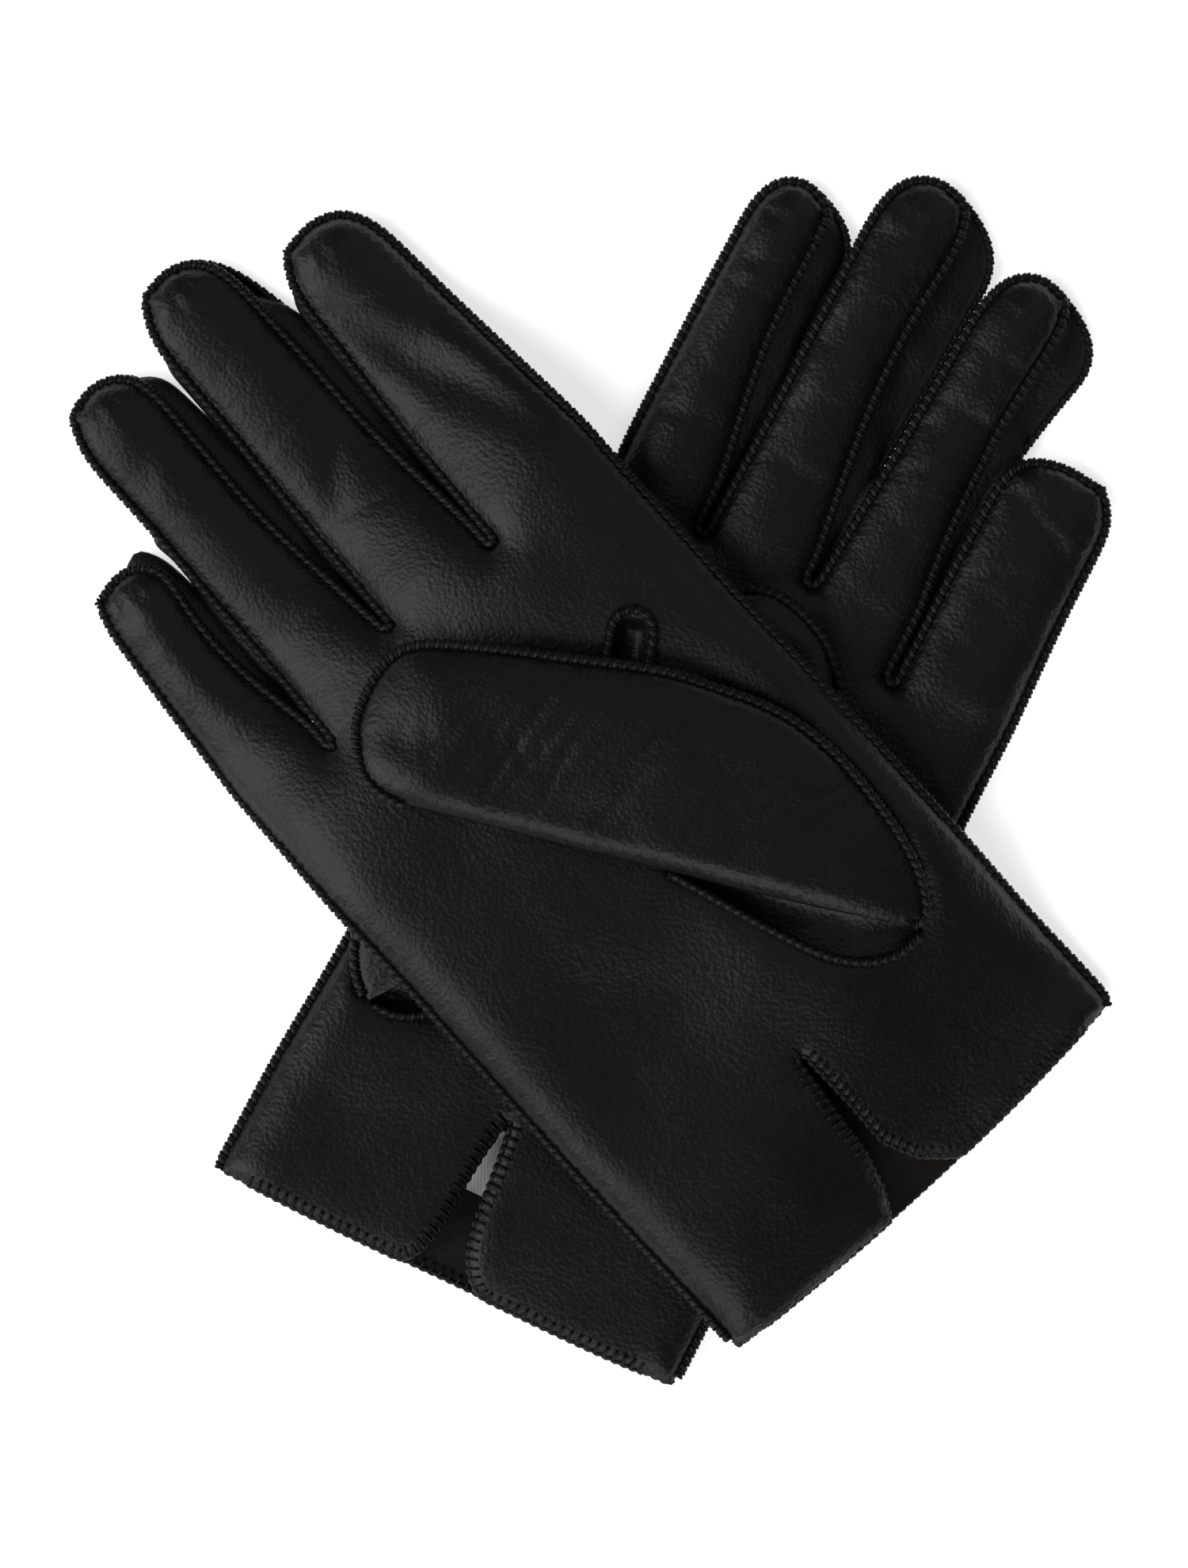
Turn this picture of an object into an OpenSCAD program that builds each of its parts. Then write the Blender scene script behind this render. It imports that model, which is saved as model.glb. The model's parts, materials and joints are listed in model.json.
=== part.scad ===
// A pair of short leather driving gloves lying palm up. The right glove is laid across the left
// one and drapes over it. Each glove is flat and empty: a palm panel over a back panel, four
// fingers with side strips (fourchettes), and a folded thumb sewn into a hole in the palm.
// Each glove is drawn in its own frame: x across to the thumb side, y from the hem to the
// fingertips, z up out of the palm. The left glove is the mirror image, with its own lie.

/* [Glove] */
// Breadth across the hem
hem_width = 102; // [94:1:122]
// Length from the hem to the crotch beside the index finger
palm_length = 154; // [140:1:184]
// Thickness of a glove lying flat and empty
depth = 8; // [6.8:0.1:10]
// Thickness of the leather
leather = 1; // [0.8:0.1:1.3]

/* [Fingers] */
// Length of the index finger from its crotch
index_length = 73.5; // [62:0.5:90]
// Length of the middle finger from its crotches
middle_length = 85; // [70:0.5:102]
// Length of the ring finger from its crotches
ring_length = 82; // [67:0.5:98]
// Length of the little finger from its crotch
little_length = 55; // [45:0.5:66]
// Width of the index finger's palm panel at its root
index_width = 28; // [24:0.5:32]
// Width of the middle finger's palm panel at its root
middle_width = 24; // [20:0.5:29]
// Width of the ring finger's palm panel at its root
ring_width = 21; // [18:0.5:26]
// Width of the little finger's palm panel at its root
little_width = 24; // [20:0.5:29]

/* [Thumb] */
// Length of the thumb beyond its fold line
thumb_length = 66; // [55:0.5:79]
// Width of the folded thumb at its fold line
thumb_width = 38; // [32:0.5:42]
// Width of the folded thumb near its tip
thumb_tip_width = 28; // [23:0.5:34]
// Thickness of the folded thumb
thumb_depth = 4; // [3.4:0.1:4.8]

/* [Seams and vent] */
// Width of a sewn edge
seam_width = 1.3; // [1:0.1:1.6]
// Height of the overcast thread above the leather
seam_height = 1.1; // [0.8:0.1:1.4]
// Length of the slit in the palm side of the hem
vent_length = 34.5; // [28:0.5:42]
// Width of the maker's blank label inside the left glove
label_width = 24; // [20:0.5:29]

/* [Hidden] */

RIGHT = 0;
LEFT = 1;
INDEX = 0;
MIDDLE = 1;
RING = 2;
LITTLE = 3;

leather_black = [0.10, 0.10, 0.11];
strip_black = [0.07, 0.07, 0.08];
thread_black = [0.05, 0.05, 0.05];
satin_white = [0.92, 0.92, 0.90];

// Where each glove lies: the middle of its hem, its turn about z, and its mirroring
hem_middle = [[66.53, -78.88], [-30.57, -99.98]];
turn = [38.4, -24.5];
side = [1, -1];

// The fingers of each glove as they lie, index to little: lean towards the little-finger side
// in degrees, the root that stays with the palm beyond the crotch, how much of the panel is
// rolled under, how much narrower the tip is, and how far the back panel has slid sideways
finger_length = [index_length, middle_length, ring_length, little_length];
finger_width = [index_width, middle_width, ring_width, little_width];
lean = [[3.7, 3.4, 4.1, 2.6], [0.9, 1.9, 4.4, 1.8]];
root = [[5.5, 5, 9, 6], [12.5, 6.5, 10.5, 4.5]];
rolled_under = [[0, 0, 0, 4], [8.5, 3, 1.5, 0]];
taper = [[8, 4, 3, 5], [5, 3, 4, 1]];
slid = [[3.5, 5, 3.5, 1.5], [-6.5, -8, -8.5, 0]];
slide_peak = [0.4, 0.85];
slide_power = [[2, 2, 2, 2], [0.65, 0.65, 2, 2]];
crotch_gap = [2.5, 3.4];
little_edge = [-60.5, -58];
// How far each finger's crotch level lies above the palm length
crotch_rise = [[-0.5, -1.2, -7.3, -13.4], [4, 4, -2, -8]];

// Clearances: between bodies along the stack, between moving ends, and between sewn pieces
thumb_gap = 0.8;
rest_gap = 0.6;
end_gap = 0.4;
sewn_gap = 0.05;
lay_gap = 0.75;

// The right glove is held up by the left glove and its thumb, and falls to the floor beside it
stack = depth + thumb_gap + thumb_depth + seam_height + rest_gap;
flat_half = 46;
fall_length = 42;

flange_top = 2 * leather + sewn_gap;
shoulder = 6;
palm_shoulder = 8;
palm_rows = 20;
finger_steps = [0, 0.12, 0.25, 0.38, 0.5, 0.62, 0.74, 0.84, 0.91, 0.955, 0.985, 1];
strip_rows = 9;
tip_start = 0.8;
tip_power = 2.5;
tip_left = 0.12;

// The thumb: its fold line's middle, its lean, how the left one is shifted, and how much of it
// is curled under at the tip
thumb_fold = [[12, 93], [20, 99]];
thumb_lean = [41.8, 36.5];
thumb_shift = [[0, 0], [8, 6]];
thumb_curled = [0, 4];
thumb_base_little = [[1.5, 73], [5, 63.5], [8.5, 54.5], [12.5, 46.5], [17, 41.5], [23, 38.5]];
thumb_base_outer = [[34, 93], [38, 80], [38.8, 66], [37.5, 52], [34, 43], [29.5, 39]];
hole_inset = 2.5;

// The vent: its apex, its two hem ends, and how far up the hem corners are rounded
vent_apex_x = [-5, 1];
vent_half_top = 0.6;
vent_half_mid = [[1.2, 2], [1.8, 2.6]];
vent_hem = [[-11, 8], [-8, 9]];
vent_flare = 8;
hem_slope = [0.07, 0.02];
hem_bow = [2.6, 0.6];

label_height = 14;
label_y = 25;
label_thickness = 0.4;

// ---- plain geometry -----------------------------------------------------------------------

function smooth(t) = let (c = min(1, max(0, t))) c * c * (3 - 2 * c);
function mix(a, b, t) = a + (b - a) * t;
function heading(a) = [-sin(a), cos(a)];
function across(a) = [cos(a), sin(a)];
function spin(p, a) = [p.x * cos(a) - p.y * sin(a), p.x * sin(a) + p.y * cos(a)];
function in_room(g, p) = hem_middle[g] + spin([side[g] * p.x, p.y], turn[g]);

// Height of the underside of a glove at a place in its own frame
function left_distance(p) =
    let (d = spin(p - hem_middle[LEFT], -turn[LEFT])) abs(d.x);
function lie(g, p) =
    g == LEFT ? 0 : stack * (1 - smooth((left_distance(in_room(g, p)) - flat_half) / fall_length));
function at(g, p, z) = [p.x, p.y, z + lie(g, p)];

// A sheet of leather: a grid of points on its upper face, given a thickness downwards.
// Cells marked open are left out, and every free edge gets a wall.
module sheet(grid, thick, open = []) {
    rows = len(grid);
    cols = len(grid[0]);
    total = rows * cols;
    top = [for (r = grid) for (p = r) p];
    bottom = [for (p = top) p - [0, 0, thick]];
    kept = function (r, c) r >= 0 && c >= 0 && r < rows - 1 && c < cols - 1
        && len([for (o = open) if (r >= o[0] && r <= o[1] && c == o[2]) 1]) == 0;
    id = function (r, c) r * cols + c;
    cells = [for (r = [0:rows - 2]) for (c = [0:cols - 2]) if (kept(r, c)) [r, c]];
    wall = function (a, b) [[b, b + total, a + total], [b, a + total, a]];
    faces = concat(
        [for (k = cells) let (a = id(k[0], k[1]), b = a + 1, c = a + cols, d = c + 1)
            each [[a, c, b], [b, c, d], [a + total, b + total, c + total],
                [b + total, d + total, c + total]]],
        [for (k = cells) let (a = id(k[0], k[1]), b = a + 1, c = a + cols, d = c + 1)
            each concat(
                kept(k[0] - 1, k[1]) ? [] : wall(a, b),
                kept(k[0] + 1, k[1]) ? [] : wall(d, c),
                kept(k[0], k[1] - 1) ? [] : wall(c, a),
                kept(k[0], k[1] + 1) ? [] : wall(b, d))]);
    polyhedron(concat(top, bottom), faces, 10);
}

// A bar through a row of equal rings of points, closed at both ends
module bar(rings) {
    n = len(rings[0]);
    last = len(rings) - 1;
    polyhedron(
        [for (r = rings) for (p = r) p],
        concat(
            [for (k = [1:n - 2]) [0, k + 1, k]],
            [for (k = [1:n - 2]) [last * n, last * n + k, last * n + k + 1]],
            [for (r = [0:last - 1]) for (k = [0:n - 1])
                let (a = r * n + k, b = r * n + (k + 1) % n)
                    each [[a, b + n, a + n], [a, b, b + n]]]),
        10);
}

// Puts a glove's own frame in its place in the room
module seat(g) {
    translate([hem_middle[g].x, hem_middle[g].y, 0])
        rotate(turn[g])
            mirror([g == LEFT ? 1 : 0, 0, 0])
                children();
}

// ---- fingers ------------------------------------------------------------------------------

function width_at_root(g, f) = finger_width[f] - rolled_under[g][f];
function row_end(g, f) =
    f == LITTLE ? little_edge[g] + width_at_root(g, LITTLE)
        : row_end(g, f + 1) + crotch_gap[g] + width_at_root(g, f);
function crotch_level(g, f) = palm_length + crotch_rise[g][f];
function finger_start(g, f) = [row_end(g, f) - width_at_root(g, f) / 2, crotch_level(g, f)];
function finger_point(g, f, along, off) =
    finger_start(g, f) + along * heading(lean[g][f]) + off * across(lean[g][f]);
function step_along(g, f, s) =
    mix(root[g][f] + end_gap, finger_length[f], s);
function rounding(s) =
    s <= tip_start ? 1
        : max(tip_left, pow(1 - pow((s - tip_start) / (1 - tip_start), tip_power), 1 / tip_power));
function half(g, f, s) = mix(width_at_root(g, f), width_at_root(g, f) - taper[g][f], s) / 2
    * rounding(s);
function slide_share(g, f, s) =
    s < slide_peak[g] ? pow(s / slide_peak[g], slide_power[g][f])
        : cos(90 * (s - slide_peak[g]) / (1 - slide_peak[g]));
// The outer side of the index and little fingers has no side strip
function closed(f, hand) = (f == INDEX && hand > 0) || (f == LITTLE && hand < 0);
function back_edge(g, f, hand, s) =
    hand * half(g, f, s) + (closed(f, hand) ? 0 : slid[g][f]) * slide_share(g, f, s);
function front_edge(g, f, hand, s) = hand * half(g, f, s);
function edge_strip(g, f, s) = min(seam_width, 0.3 * half(g, f, s));
function shoulder_off(g, f, hand, s) =
    hand * (half(g, f, s) - min(shoulder, 0.6 * half(g, f, s)));
function front_top(s) =
    s <= tip_start ? depth
        : mix(depth, flange_top, pow((s - tip_start) / (1 - tip_start), 2));

function finger_at(g, f, s, off, z) =
    let (p = finger_point(g, f, step_along(g, f, s), off)) at(g, p, z);
function front_row(g, f, s) =
    let (low = front_edge(g, f, -1, s), high = front_edge(g, f, 1, s), e = edge_strip(g, f, s),
        zl = closed(f, -1) ? flange_top : front_top(s),
        zh = closed(f, 1) ? flange_top : front_top(s))
        [
            finger_at(g, f, s, low, zl),
            finger_at(g, f, s, low + e, zl),
            finger_at(g, f, s, shoulder_off(g, f, -1, s), front_top(s)),
            finger_at(g, f, s, 0, front_top(s)),
            finger_at(g, f, s, shoulder_off(g, f, 1, s), front_top(s)),
            finger_at(g, f, s, high - e, zh),
            finger_at(g, f, s, high, zh)
        ];
function back_row(g, f, s) =
    let (low = back_edge(g, f, -1, s), high = back_edge(g, f, 1, s), e = edge_strip(g, f, s))
        [
            finger_at(g, f, s, low, leather),
            finger_at(g, f, s, low + e, leather),
            finger_at(g, f, s, (low + high) / 2, leather),
            finger_at(g, f, s, high - e, leather),
            finger_at(g, f, s, high, leather)
        ];
// One ring of a side strip: its upper edge under the front panel, its lower edge on the back
function strip_ring(g, f, hand, s) =
    let (top = front_edge(g, f, hand, s), foot = back_edge(g, f, hand, s),
        e = hand * edge_strip(g, f, s), high = front_top(s) - leather - sewn_gap,
        low = leather + sewn_gap,
        ring = [
            finger_at(g, f, s, top, high),
            finger_at(g, f, s, top - e, high),
            finger_at(g, f, s, foot - e, low),
            finger_at(g, f, s, foot, low)
        ])
        hand > 0 ? ring : [ring[1], ring[0], ring[3], ring[2]];

module finger_front(g, f) {
    color(leather_black)
        seat(g)
            sheet([for (s = finger_steps) front_row(g, f, s)], leather);
}

module finger_back(g, f) {
    color(leather_black)
        seat(g)
            sheet([for (s = finger_steps) back_row(g, f, s)], leather);
}

module side_strips(g, f) {
    color(strip_black)
        seat(g)
            for (hand = [-1, 1])
                if (!closed(f, hand))
                    bar([for (k = [0:strip_rows - 1]) strip_ring(g, f, hand, finger_steps[k])]);
}

module finger_seams(g, f) {
    lift = [0, 0, seam_height + sewn_gap];
    color(thread_black)
        seat(g)
            for (c = [0, 5])
                sheet([for (s = finger_steps) let (r = front_row(g, f, s)) [r[c] + lift, r[c + 1] + lift]],
                    seam_height);
}

// ---- hand ---------------------------------------------------------------------------------

// Columns of the hand's grid, from the little-finger edge to the thumb edge. Each finger's
// root has its own columns, and the open cells between them are the crotches.
root_columns = [[11, 15], [8, 10], [5, 7], [0, 4]];
last_column = 15;
open_columns = [4, 7, 10];
top_row = palm_rows + 2;

function root_share(f, c) =
    let (first = root_columns[f][0], k = c - first)
        f == LITTLE ? [0, seam_width / finger_width[LITTLE], palm_shoulder / finger_width[LITTLE],
                0.6, 1][k]
        : f == INDEX ? [0, 0.35, 1 - palm_shoulder / finger_width[INDEX],
                1 - seam_width / finger_width[INDEX], 1][k]
        : [0, 0.5, 1][k];
function column_finger(c) = c <= 4 ? LITTLE : c <= 7 ? RING : c <= 10 ? MIDDLE : INDEX;
function crotch_floor(g, f, share) =
    f == LITTLE ? crotch_level(g, LITTLE)
        : f == RING ? mix(crotch_level(g, LITTLE) + 0.5, crotch_level(g, MIDDLE), share)
        : crotch_level(g, f);
// A point of the hand's grid in the glove's own plane
function crotch_point(g, c) =
    let (f = column_finger(c), share = root_share(f, c), w = width_at_root(g, f))
        [row_end(g, f) - w * (1 - share), crotch_floor(g, f, share)];
function fold_point(g, c) =
    let (f = column_finger(c), share = root_share(f, c), w = width_at_root(g, f))
        finger_point(g, f, root[g][f], w * (share - 0.5));
// The hem slopes a little and bows out in its middle
function hem_level(g, x) = hem_slope[g] * x - hem_bow[g] * (1 - pow(x / (hem_width / 2), 2));
function hem_point(g, c) =
    let (reach = hem_width / 2,
        x = c == 0 ? -reach
            : c == 1 ? -reach + seam_width
            : c == last_column ? reach
            : c == last_column - 1 ? reach - seam_width
            : mix(-reach + palm_shoulder, reach - palm_shoulder, (c - 2) / (last_column - 4)))
        [x, hem_level(g, x)];
function hand_point(g, r, c) =
    r <= palm_rows ? mix(hem_point(g, c), crotch_point(g, c), r / palm_rows)
        : mix(crotch_point(g, c), fold_point(g, c), (r - palm_rows) / 2);
function hand_z(c) = c <= 1 || c >= last_column - 1 ? flange_top : depth;
crotches = [for (c = open_columns) [palm_rows, top_row, c]];

function palm_row(g, r) = [for (c = [0:last_column]) at(g, hand_point(g, r, c), hand_z(c))];
function back_panel_row(g, r) = [for (c = [0:last_column]) at(g, hand_point(g, r, c), leather)];

// The outline of the hand, up one side, round each finger's root and down the other side
function hand_outline(g) = concat(
    [for (r = [0:palm_rows - 1]) hand_point(g, r, 0)],
    [for (f = [LITTLE, RING, MIDDLE, INDEX]) let (a = root_columns[f][0], b = root_columns[f][1])
        each concat(
            [for (r = [palm_rows:top_row]) hand_point(g, r, a)],
            [for (r = [top_row:-1:palm_rows]) hand_point(g, r, b)])],
    [for (r = [palm_rows - 1:-1:0]) hand_point(g, r, last_column)],
    [for (c = [last_column - 1:-1:1]) hand_point(g, 0, c)]);

// ---- vent and thumb hole ------------------------------------------------------------------

function vent_side(g, hand) =
    let (k = hand > 0 ? 1 : 0, x = vent_apex_x[g], mid = vent_half_mid[g][k],
        hem_x = vent_hem[g][k])
        [
            [x + hand * vent_half_top, vent_length],
            [x + hand * mid, vent_length * 0.6],
            [x + hand * mid * 1.2, vent_flare + 3],
            [mix(x + hand * mid * 1.2, hem_x, 0.35), vent_flare * 0.45],
            [hem_x, hem_level(g, hem_x)]
        ];
module vent_cut(g) {
    below = [0, -10];
    low = vent_side(g, -1);
    high = vent_side(g, 1);
    points = concat([for (p = low) p], [low[4] + below], [high[4] + below],
        [for (k = [4:-1:0]) high[k]]);
    translate([0, 0, -1])
        linear_extrude(stack + depth + 10)
            polygon(points);
}

function base_little(g) = concat(
    [thumb_fold[g] - thumb_width / 2 * across(thumb_lean[g])],
    [for (p = thumb_base_little) p + thumb_shift[g]]);
function base_outer(g) = concat(
    [thumb_fold[g] + thumb_width / 2 * across(thumb_lean[g])],
    [for (p = thumb_base_outer) p + thumb_shift[g]]);
function inset(p, middle, by) = p + (middle - p) * by / norm(middle - p);
function base_middle(g) = [22, 70] + thumb_shift[g];

module thumb_hole(g) {
    rim = concat(base_little(g), [for (k = [6:-1:0]) base_outer(g)[k]]);
    translate([0, 0, -1])
        linear_extrude(stack + depth + 10)
            polygon([for (p = rim) inset(p, base_middle(g), hole_inset)]);
}

// ---- hand pieces --------------------------------------------------------------------------

module palm_panel(g) {
    // The size is kept as it is: this only makes the cut sheet one faceted surface
    color(leather_black)
        seat(g)
            resize([0, 0, 0])
                difference() {
                    sheet([for (r = [0:top_row]) palm_row(g, r)], leather, crotches);
                    vent_cut(g);
                    thumb_hole(g);
                }
}

module back_panel(g) {
    color(leather_black)
        seat(g)
            if (g == LEFT)
                linear_extrude(leather)
                    polygon(hand_outline(g));
            else
                sheet([for (r = [0:top_row]) back_panel_row(g, r)], leather, crotches);
}

module side_seams(g) {
    lift = [0, 0, seam_height + sewn_gap];
    color(thread_black)
        seat(g)
            for (c = [0, last_column - 1])
                sheet([for (r = [0:top_row]) let (row = palm_row(g, r)) [row[c] + lift, row[c + 1] + lift]],
                    seam_height);
}

// A raised thread line on the palm, from pairs of points: the leather side, then the free edge
module thread_line(g, pairs) {
    z = depth + lay_gap + seam_height;
    sheet([for (p = pairs) [at(g, p[0], z), at(g, p[1], z)]], seam_height);
}

module hem_thread(g) {
    e = [0, seam_width];
    on_hem = function (x) [x, hem_level(g, x)];
    low = vent_side(g, -1);
    high = vent_side(g, 1);
    inner = [seam_width, 0];
    little_end = hem_point(g, 2);
    outer_end = hem_point(g, last_column - 2);
    color(thread_black)
        seat(g) {
            thread_line(g, concat(
                [for (t = [0:0.125:1]) let (p = on_hem(mix(little_end.x, low[4].x, t))) [p + e, p]],
                [for (k = [3:-1:0]) [low[k] - inner, low[k]]]));
            thread_line(g, concat(
                [for (k = [0:3]) [high[k] + inner, high[k]]],
                [for (t = [0:0.125:1]) let (p = on_hem(mix(high[4].x, outer_end.x, t))) [p + e, p]]));
        }
}

thumb_top = depth + thumb_gap + thumb_depth;
base_cells = 6;
base_rise = [1, 1, 1, 0.95, 0.85, 0.6, 0.25];
function base_row(g, k) =
    let (a = base_little(g)[k], b = base_outer(g)[k], rim = depth + lay_gap + leather,
        crown = (thumb_top - rim) * base_rise[k])
        [for (j = [0:base_cells]) at(g, mix(a, b, j / base_cells),
            rim + crown * pow(sin(180 * j / base_cells), 0.6))];

module thumb_base(g) {
    color(leather_black)
        seat(g)
            sheet([for (k = [6:-1:0]) base_row(g, k)], leather);
}

module thumb_hole_seam(g) {
    out = -seam_width - 0.2;
    little = base_little(g);
    outer = base_outer(g);
    rim = concat([for (k = [1:6]) little[k]], [for (k = [6:-1:1]) outer[k]]);
    color(thread_black)
        seat(g)
            thread_line(g, [for (p = rim)
                [inset(p, base_middle(g), -0.2), inset(p, base_middle(g), out)]]);
}

// The free part of the thumb: a flattened sleeve, open at the fold line and closed at the tip
thumb_steps = [0, 0.12, 0.25, 0.38, 0.5, 0.62, 0.74, 0.84, 0.92, 0.97, 1];
function thumb_half(s) = mix(thumb_width, thumb_tip_width, s) / 2 * rounding(s);
function thumb_section(g, s, thin) =
    let (h = max(0.8, thumb_half(s) - thin), edge = min(1.6, 0.5 * h),
        low = depth + thumb_gap + thin, high = thumb_top - thin, rise = (high - low) * 0.3,
        along = end_gap + s * (thumb_length - thumb_curled[g] - end_gap) - (s == 1 ? thin : 0),
        spots = [[-h, low + rise], [-h + edge, low], [0, low], [h - edge, low], [h, low + rise],
            [h, high - rise], [h - edge, high], [0, high], [-h + edge, high], [-h, high - rise]])
        [for (q = spots)
            at(g, thumb_fold[g] + along * heading(thumb_lean[g]) + q[0] * across(thumb_lean[g]), q[1])];

module thumb(g) {
    outside = [for (s = thumb_steps) thumb_section(g, s, 0)];
    inside = [for (s = thumb_steps) thumb_section(g, s, leather * 0.8)];
    rings = concat(inside, [for (k = [len(outside) - 1:-1:0]) outside[k]]);
    n = len(rings[0]);
    count = len(rings);
    tip = len(inside) - 1;
    color(leather_black)
        seat(g)
            polyhedron(
                [for (r = rings) for (p = r) p],
                concat(
                    [for (r = [0:count - 1]) if (r != tip) for (k = [0:n - 1])
                        let (a = r * n + k, b = r * n + (k + 1) % n, up = ((r + 1) % count - r) * n)
                            each [[a, a + up, b + up], [a, b + up, b]]],
                    [for (k = [1:n - 2]) [tip * n, tip * n + k + 1, tip * n + k]],
                    [for (k = [1:n - 2]) [(tip + 1) * n, (tip + 1) * n + k, (tip + 1) * n + k + 1]]),
                10);
}

module thumb_seam(g) {
    lift = sewn_gap + seam_height;
    color(thread_black)
        seat(g)
            sheet([for (s = thumb_steps) let (q = thumb_section(g, s, 0))
                [q[7] + (q[6] - q[7]) * 0.88 + [0, 0, lift], q[6] + [0, 0, lift]]], seam_height);
}

module label() {
    color(satin_white)
        seat(LEFT)
            translate([vent_apex_x[LEFT] - label_width / 2, label_y - label_height / 2,
                    leather + sewn_gap])
                cube([label_width, label_height, label_thickness]);
}

// ---- the pair -----------------------------------------------------------------------------

palm_panel(LEFT);  // left_palm_panel
back_panel(LEFT);  // left_back_panel
thumb_base(LEFT);  // left_thumb_base
side_seams(LEFT);  // left_side_seams
hem_thread(LEFT);  // left_hem_thread
thumb_hole_seam(LEFT);  // left_thumb_hole_seam
label();  // left_label
thumb(LEFT);  // left_thumb
thumb_seam(LEFT);  // left_thumb_seam
finger_front(LEFT, INDEX);  // left_index_front
finger_back(LEFT, INDEX);  // left_index_back
side_strips(LEFT, INDEX);  // left_index_fourchette
finger_seams(LEFT, INDEX);  // left_index_seams
finger_front(LEFT, MIDDLE);  // left_middle_front
finger_back(LEFT, MIDDLE);  // left_middle_back
side_strips(LEFT, MIDDLE);  // left_middle_fourchettes
finger_seams(LEFT, MIDDLE);  // left_middle_seams
finger_front(LEFT, RING);  // left_ring_front
finger_back(LEFT, RING);  // left_ring_back
side_strips(LEFT, RING);  // left_ring_fourchettes
finger_seams(LEFT, RING);  // left_ring_seams
finger_front(LEFT, LITTLE);  // left_little_front
finger_back(LEFT, LITTLE);  // left_little_back
side_strips(LEFT, LITTLE);  // left_little_fourchette
finger_seams(LEFT, LITTLE);  // left_little_seams
palm_panel(RIGHT);  // right_palm_panel
back_panel(RIGHT);  // right_back_panel
thumb_base(RIGHT);  // right_thumb_base
side_seams(RIGHT);  // right_side_seams
hem_thread(RIGHT);  // right_hem_thread
thumb_hole_seam(RIGHT);  // right_thumb_hole_seam
thumb(RIGHT);  // right_thumb
thumb_seam(RIGHT);  // right_thumb_seam
finger_front(RIGHT, INDEX);  // right_index_front
finger_back(RIGHT, INDEX);  // right_index_back
side_strips(RIGHT, INDEX);  // right_index_fourchette
finger_seams(RIGHT, INDEX);  // right_index_seams
finger_front(RIGHT, MIDDLE);  // right_middle_front
finger_back(RIGHT, MIDDLE);  // right_middle_back
side_strips(RIGHT, MIDDLE);  // right_middle_fourchettes
finger_seams(RIGHT, MIDDLE);  // right_middle_seams
finger_front(RIGHT, RING);  // right_ring_front
finger_back(RIGHT, RING);  // right_ring_back
side_strips(RIGHT, RING);  // right_ring_fourchettes
finger_seams(RIGHT, RING);  // right_ring_seams
finger_front(RIGHT, LITTLE);  // right_little_front
finger_back(RIGHT, LITTLE);  // right_little_back
side_strips(RIGHT, LITTLE);  // right_little_fourchette
finger_seams(RIGHT, LITTLE);  // right_little_seams
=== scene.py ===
# %% [markdown]
# # A pair of black leather driving gloves
# Two short unlined gloves lie palm up, one across the other. The design model gives every panel's
# outline, every seam's place and every finger's hinge. This file turns those plain panels into
# soft leather: it cuts a fine mesh to each outline, lets it puff and crease, and sews it up.

# %% Load the design model
import json
import math
import random

import bpy
import numpy as np
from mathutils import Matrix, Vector, geometry, kdtree, noise
from mathutils.bvhtree import BVHTree


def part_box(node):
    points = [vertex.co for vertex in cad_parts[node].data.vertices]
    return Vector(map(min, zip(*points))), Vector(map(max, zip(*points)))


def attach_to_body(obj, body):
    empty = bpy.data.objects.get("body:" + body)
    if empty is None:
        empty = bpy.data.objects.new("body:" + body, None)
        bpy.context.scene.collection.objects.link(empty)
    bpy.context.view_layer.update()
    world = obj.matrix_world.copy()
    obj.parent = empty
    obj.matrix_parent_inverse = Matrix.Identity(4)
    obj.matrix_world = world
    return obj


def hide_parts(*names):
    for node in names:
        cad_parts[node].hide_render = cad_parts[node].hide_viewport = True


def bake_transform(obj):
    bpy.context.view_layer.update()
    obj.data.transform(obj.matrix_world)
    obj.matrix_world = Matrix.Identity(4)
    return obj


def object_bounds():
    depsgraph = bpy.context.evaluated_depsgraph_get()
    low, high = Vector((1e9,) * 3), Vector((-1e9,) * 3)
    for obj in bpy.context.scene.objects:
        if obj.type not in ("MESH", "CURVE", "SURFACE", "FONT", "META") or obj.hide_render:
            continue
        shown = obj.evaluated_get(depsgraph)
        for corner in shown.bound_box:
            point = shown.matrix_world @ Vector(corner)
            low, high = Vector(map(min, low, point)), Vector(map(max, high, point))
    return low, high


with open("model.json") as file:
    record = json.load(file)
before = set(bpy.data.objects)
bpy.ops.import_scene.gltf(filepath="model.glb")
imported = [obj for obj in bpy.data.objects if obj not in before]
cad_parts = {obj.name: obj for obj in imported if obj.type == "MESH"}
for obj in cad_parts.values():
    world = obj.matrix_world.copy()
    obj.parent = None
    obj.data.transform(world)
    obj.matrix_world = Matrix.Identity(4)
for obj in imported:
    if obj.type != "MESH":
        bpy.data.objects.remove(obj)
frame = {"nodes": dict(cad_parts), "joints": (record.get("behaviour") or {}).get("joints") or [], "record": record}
cad_low, cad_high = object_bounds()
MM = 0.001
print("design box, mm:", [round(v / MM, 1) for v in (*cad_low, *cad_high)])

# %% [markdown]
# ## The camera
# The gloves lie on a table and the camera looks straight down on them. A long lens from well
# above keeps the cuffs and the fingertips at the same scale. It comes first, so that every later
# step can be looked at from the right place.

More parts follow.
